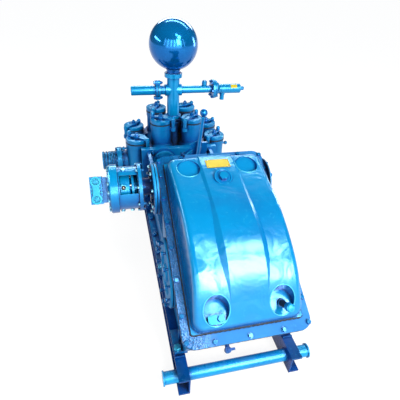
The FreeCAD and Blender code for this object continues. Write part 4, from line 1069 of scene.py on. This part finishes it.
class MUDPUMP_OT_stage(Dress):
    """Floor, lamps, world and camera"""
    bl_idname = "mud_pump.stage"
    bl_label = "Stage"

    def make(self, chosen):
        scene = bpy.context.scene
        scene.view_settings.view_transform = "Standard"
        window, strip = chosen.studio.window, chosen.studio.strip
        self.floor(chosen.studio)
        self.world(scene, chosen.studio)
        self.lamp("window_high", 146, 54, 0.9, 0.85, window)
        self.lamp("window_low", 160, 31, 1.2, 1.9, window)
        self.lamp("window_halo", 165, 15, 2.2, 1.4, window * 0.05)
        for k in range(-3, 4):
            fade = 1.0 - 0.22 * abs(k)
            self.lamp("window_row_%d" % (k + 3), 186 + 20 * k, 24, 0.2, 2.4, strip * fade)
        self.lamp("window_front", 190, 20, 8.0, 3.4, strip * 0.115)
        self.lamp("window_rim", 161, 68, 0.42, 0.5, window * 0.8)
        self.lamp("window_back", 12, 22, 2.8, 0.5, strip * 0.9)
        self.lamp("strip_back", 20, 44, 3.4, 0.16, strip * 1.6)
        self.lamp("strip_left", 291, 22, 2.6, 0.18, strip * 1.8)
        self.lamp("strip_right", 60, 10, 0.5, 1.3, strip * 1.1)
        self.camera(scene)

    def floor(self, studio):
        half = studio.floor / 2
        mesh = bpy.data.meshes.new("studio_floor")
        mesh.from_pydata([(half * x, half * y, FLOOR_LEVEL) for x, y in ((-1, -1), (1, -1), (1, 1), (-1, 1))],
                         [], [(0, 1, 2, 3)])
        floor = bpy.data.objects.new("studio_floor", mesh)
        bpy.context.scene.collection.objects.link(floor)
        made = bpy.data.materials.new("studio_floor")
        made.use_nodes = True
        made.node_tree.nodes.clear()
        net = Net(made.node_tree)
        pale = net.add("ShaderNodeBsdfDiffuse", {"Color": (0.15, 0.15, 0.16, 1.0)})
        away = net.vector("DISTANCE", net.add("ShaderNodeTexCoord").outputs["Object"], (0, -0.3, 0), "Value")
        glow = net.plus(net.times(net.ramp(away, 1.4, 5.0), 0.08), 0.89)
        path = net.add("ShaderNodeLightPath").outputs
        seen = net.math("MAXIMUM", path["Is Camera Ray"],
                        net.math("MAXIMUM", path["Is Glossy Ray"], path["Is Transmission Ray"]))
        dark = net.add("ShaderNodeEmission", {"Color": (0, 0, 0, 1), "Strength": 0.0})
        white = net.add("ShaderNodeEmission", {"Color": (1, 1, 1, 1), "Strength": glow})
        lift = net.add("ShaderNodeMixShader", {0: seen, 1: dark.outputs[0], 2: white.outputs[0]})
        both = net.add("ShaderNodeAddShader", {0: pale.outputs[0], 1: lift.outputs[0]})
        net.add("ShaderNodeOutputMaterial", {"Surface": both.outputs[0]})
        mesh.materials.append(made)

    def world(self, scene, studio):
        world = scene.world = bpy.data.worlds.new("studio_world")
        world.use_nodes = True
        world.node_tree.nodes.clear()
        net = Net(world.node_tree)
        up = net.part(net.add("ShaderNodeTexCoord").outputs["Generated"], "Z")
        low = net.ramp(up, 0.06, 0.24)
        tint = net.mix(low, (1.0, 1.0, 1.0, 1.0), (0.5, 0.78, 1.0, 1.0))
        middle = net.add("ShaderNodeMix", {0: low, 2: studio.horizon, 3: 0.09}, data_type="FLOAT").outputs[0]
        glow = net.add("ShaderNodeMix", {0: net.ramp(up, 0.40, 0.85), 2: middle, 3: studio.world},
                       data_type="FLOAT").outputs[0]
        room = net.add("ShaderNodeBackground", {"Color": tint, "Strength": glow})
        net.add("ShaderNodeOutputWorld", {"Surface": room.outputs[0]})

    def lamp(self, name, bearing, rise, width, high, bright):
        """Area lamp that shines at the pump: bearing from the far side toward the right, in degrees."""
        turn, lift = math.radians(bearing), math.radians(rise)
        way = Vector((math.sin(turn) * math.cos(lift), math.cos(turn) * math.cos(lift), math.sin(lift)))
        data = bpy.data.lights.new(name, "AREA")
        data.shape = "RECTANGLE"
        data.size, data.size_y = width, high
        data.color = LAMP_TINT
        data.energy = LAMP_ENERGY * width * high * bright
        lamp = bpy.data.objects.new(name, data)
        bpy.context.scene.collection.objects.link(lamp)
        lamp.visible_camera = False
        facing = (-way).to_track_quat("-Z", "Y").to_matrix().to_4x4()
        lamp.matrix_world = Matrix.Translation(LAMP_AIM + way * LAMP_AWAY) @ facing

    def camera(self, scene):
        data = bpy.data.cameras.new("studio_camera")
        data.sensor_width = 36.0
        data.lens = CAMERA_LENS
        camera = bpy.data.objects.new("studio_camera", data)
        scene.collection.objects.link(camera)
        facing = Matrix(CAMERA_AXES).transposed().to_4x4()
        camera.matrix_world = Matrix.Translation(CAMERA_PLACE) @ facing
        scene.camera = camera


STEPS = Dress.__subclasses__()


class MUDPUMP_PT_sidebar(bpy.types.Panel):
    """Lists the dressing steps and their settings"""
    bl_idname = "MUDPUMP_PT_sidebar"
    bl_label = "Duplex Mud Pump"
    bl_space_type = "VIEW_3D"
    bl_region_type = "UI"
    bl_category = "Mud Pump"

    def draw(self, context):
        for step in STEPS:
            self.layout.operator(step.bl_idname)
        for part in (settings().paint, settings().bolts, settings().welds, settings().studio):
            box = self.layout.box()
            for name in part.__annotations__:
                box.prop(part, name)


CLASSES = (MudPumpPaint, MudPumpBolts, MudPumpWelds, MudPumpStudio, MudPumpSettings, *STEPS,
           MUDPUMP_PT_sidebar)


def register():
    for item in CLASSES:
        bpy.utils.register_class(item)
    bpy.types.Scene.mud_pump = PointerProperty(type=MudPumpSettings)


def unregister():
    del bpy.types.Scene.mud_pump
    for item in reversed(CLASSES):
        bpy.utils.unregister_class(item)


def main():
    register()
    for step in STEPS:
        area, name = step.bl_idname.split(".")
        getattr(getattr(bpy.ops, area), name)()


if __name__ == "__main__":
    main()
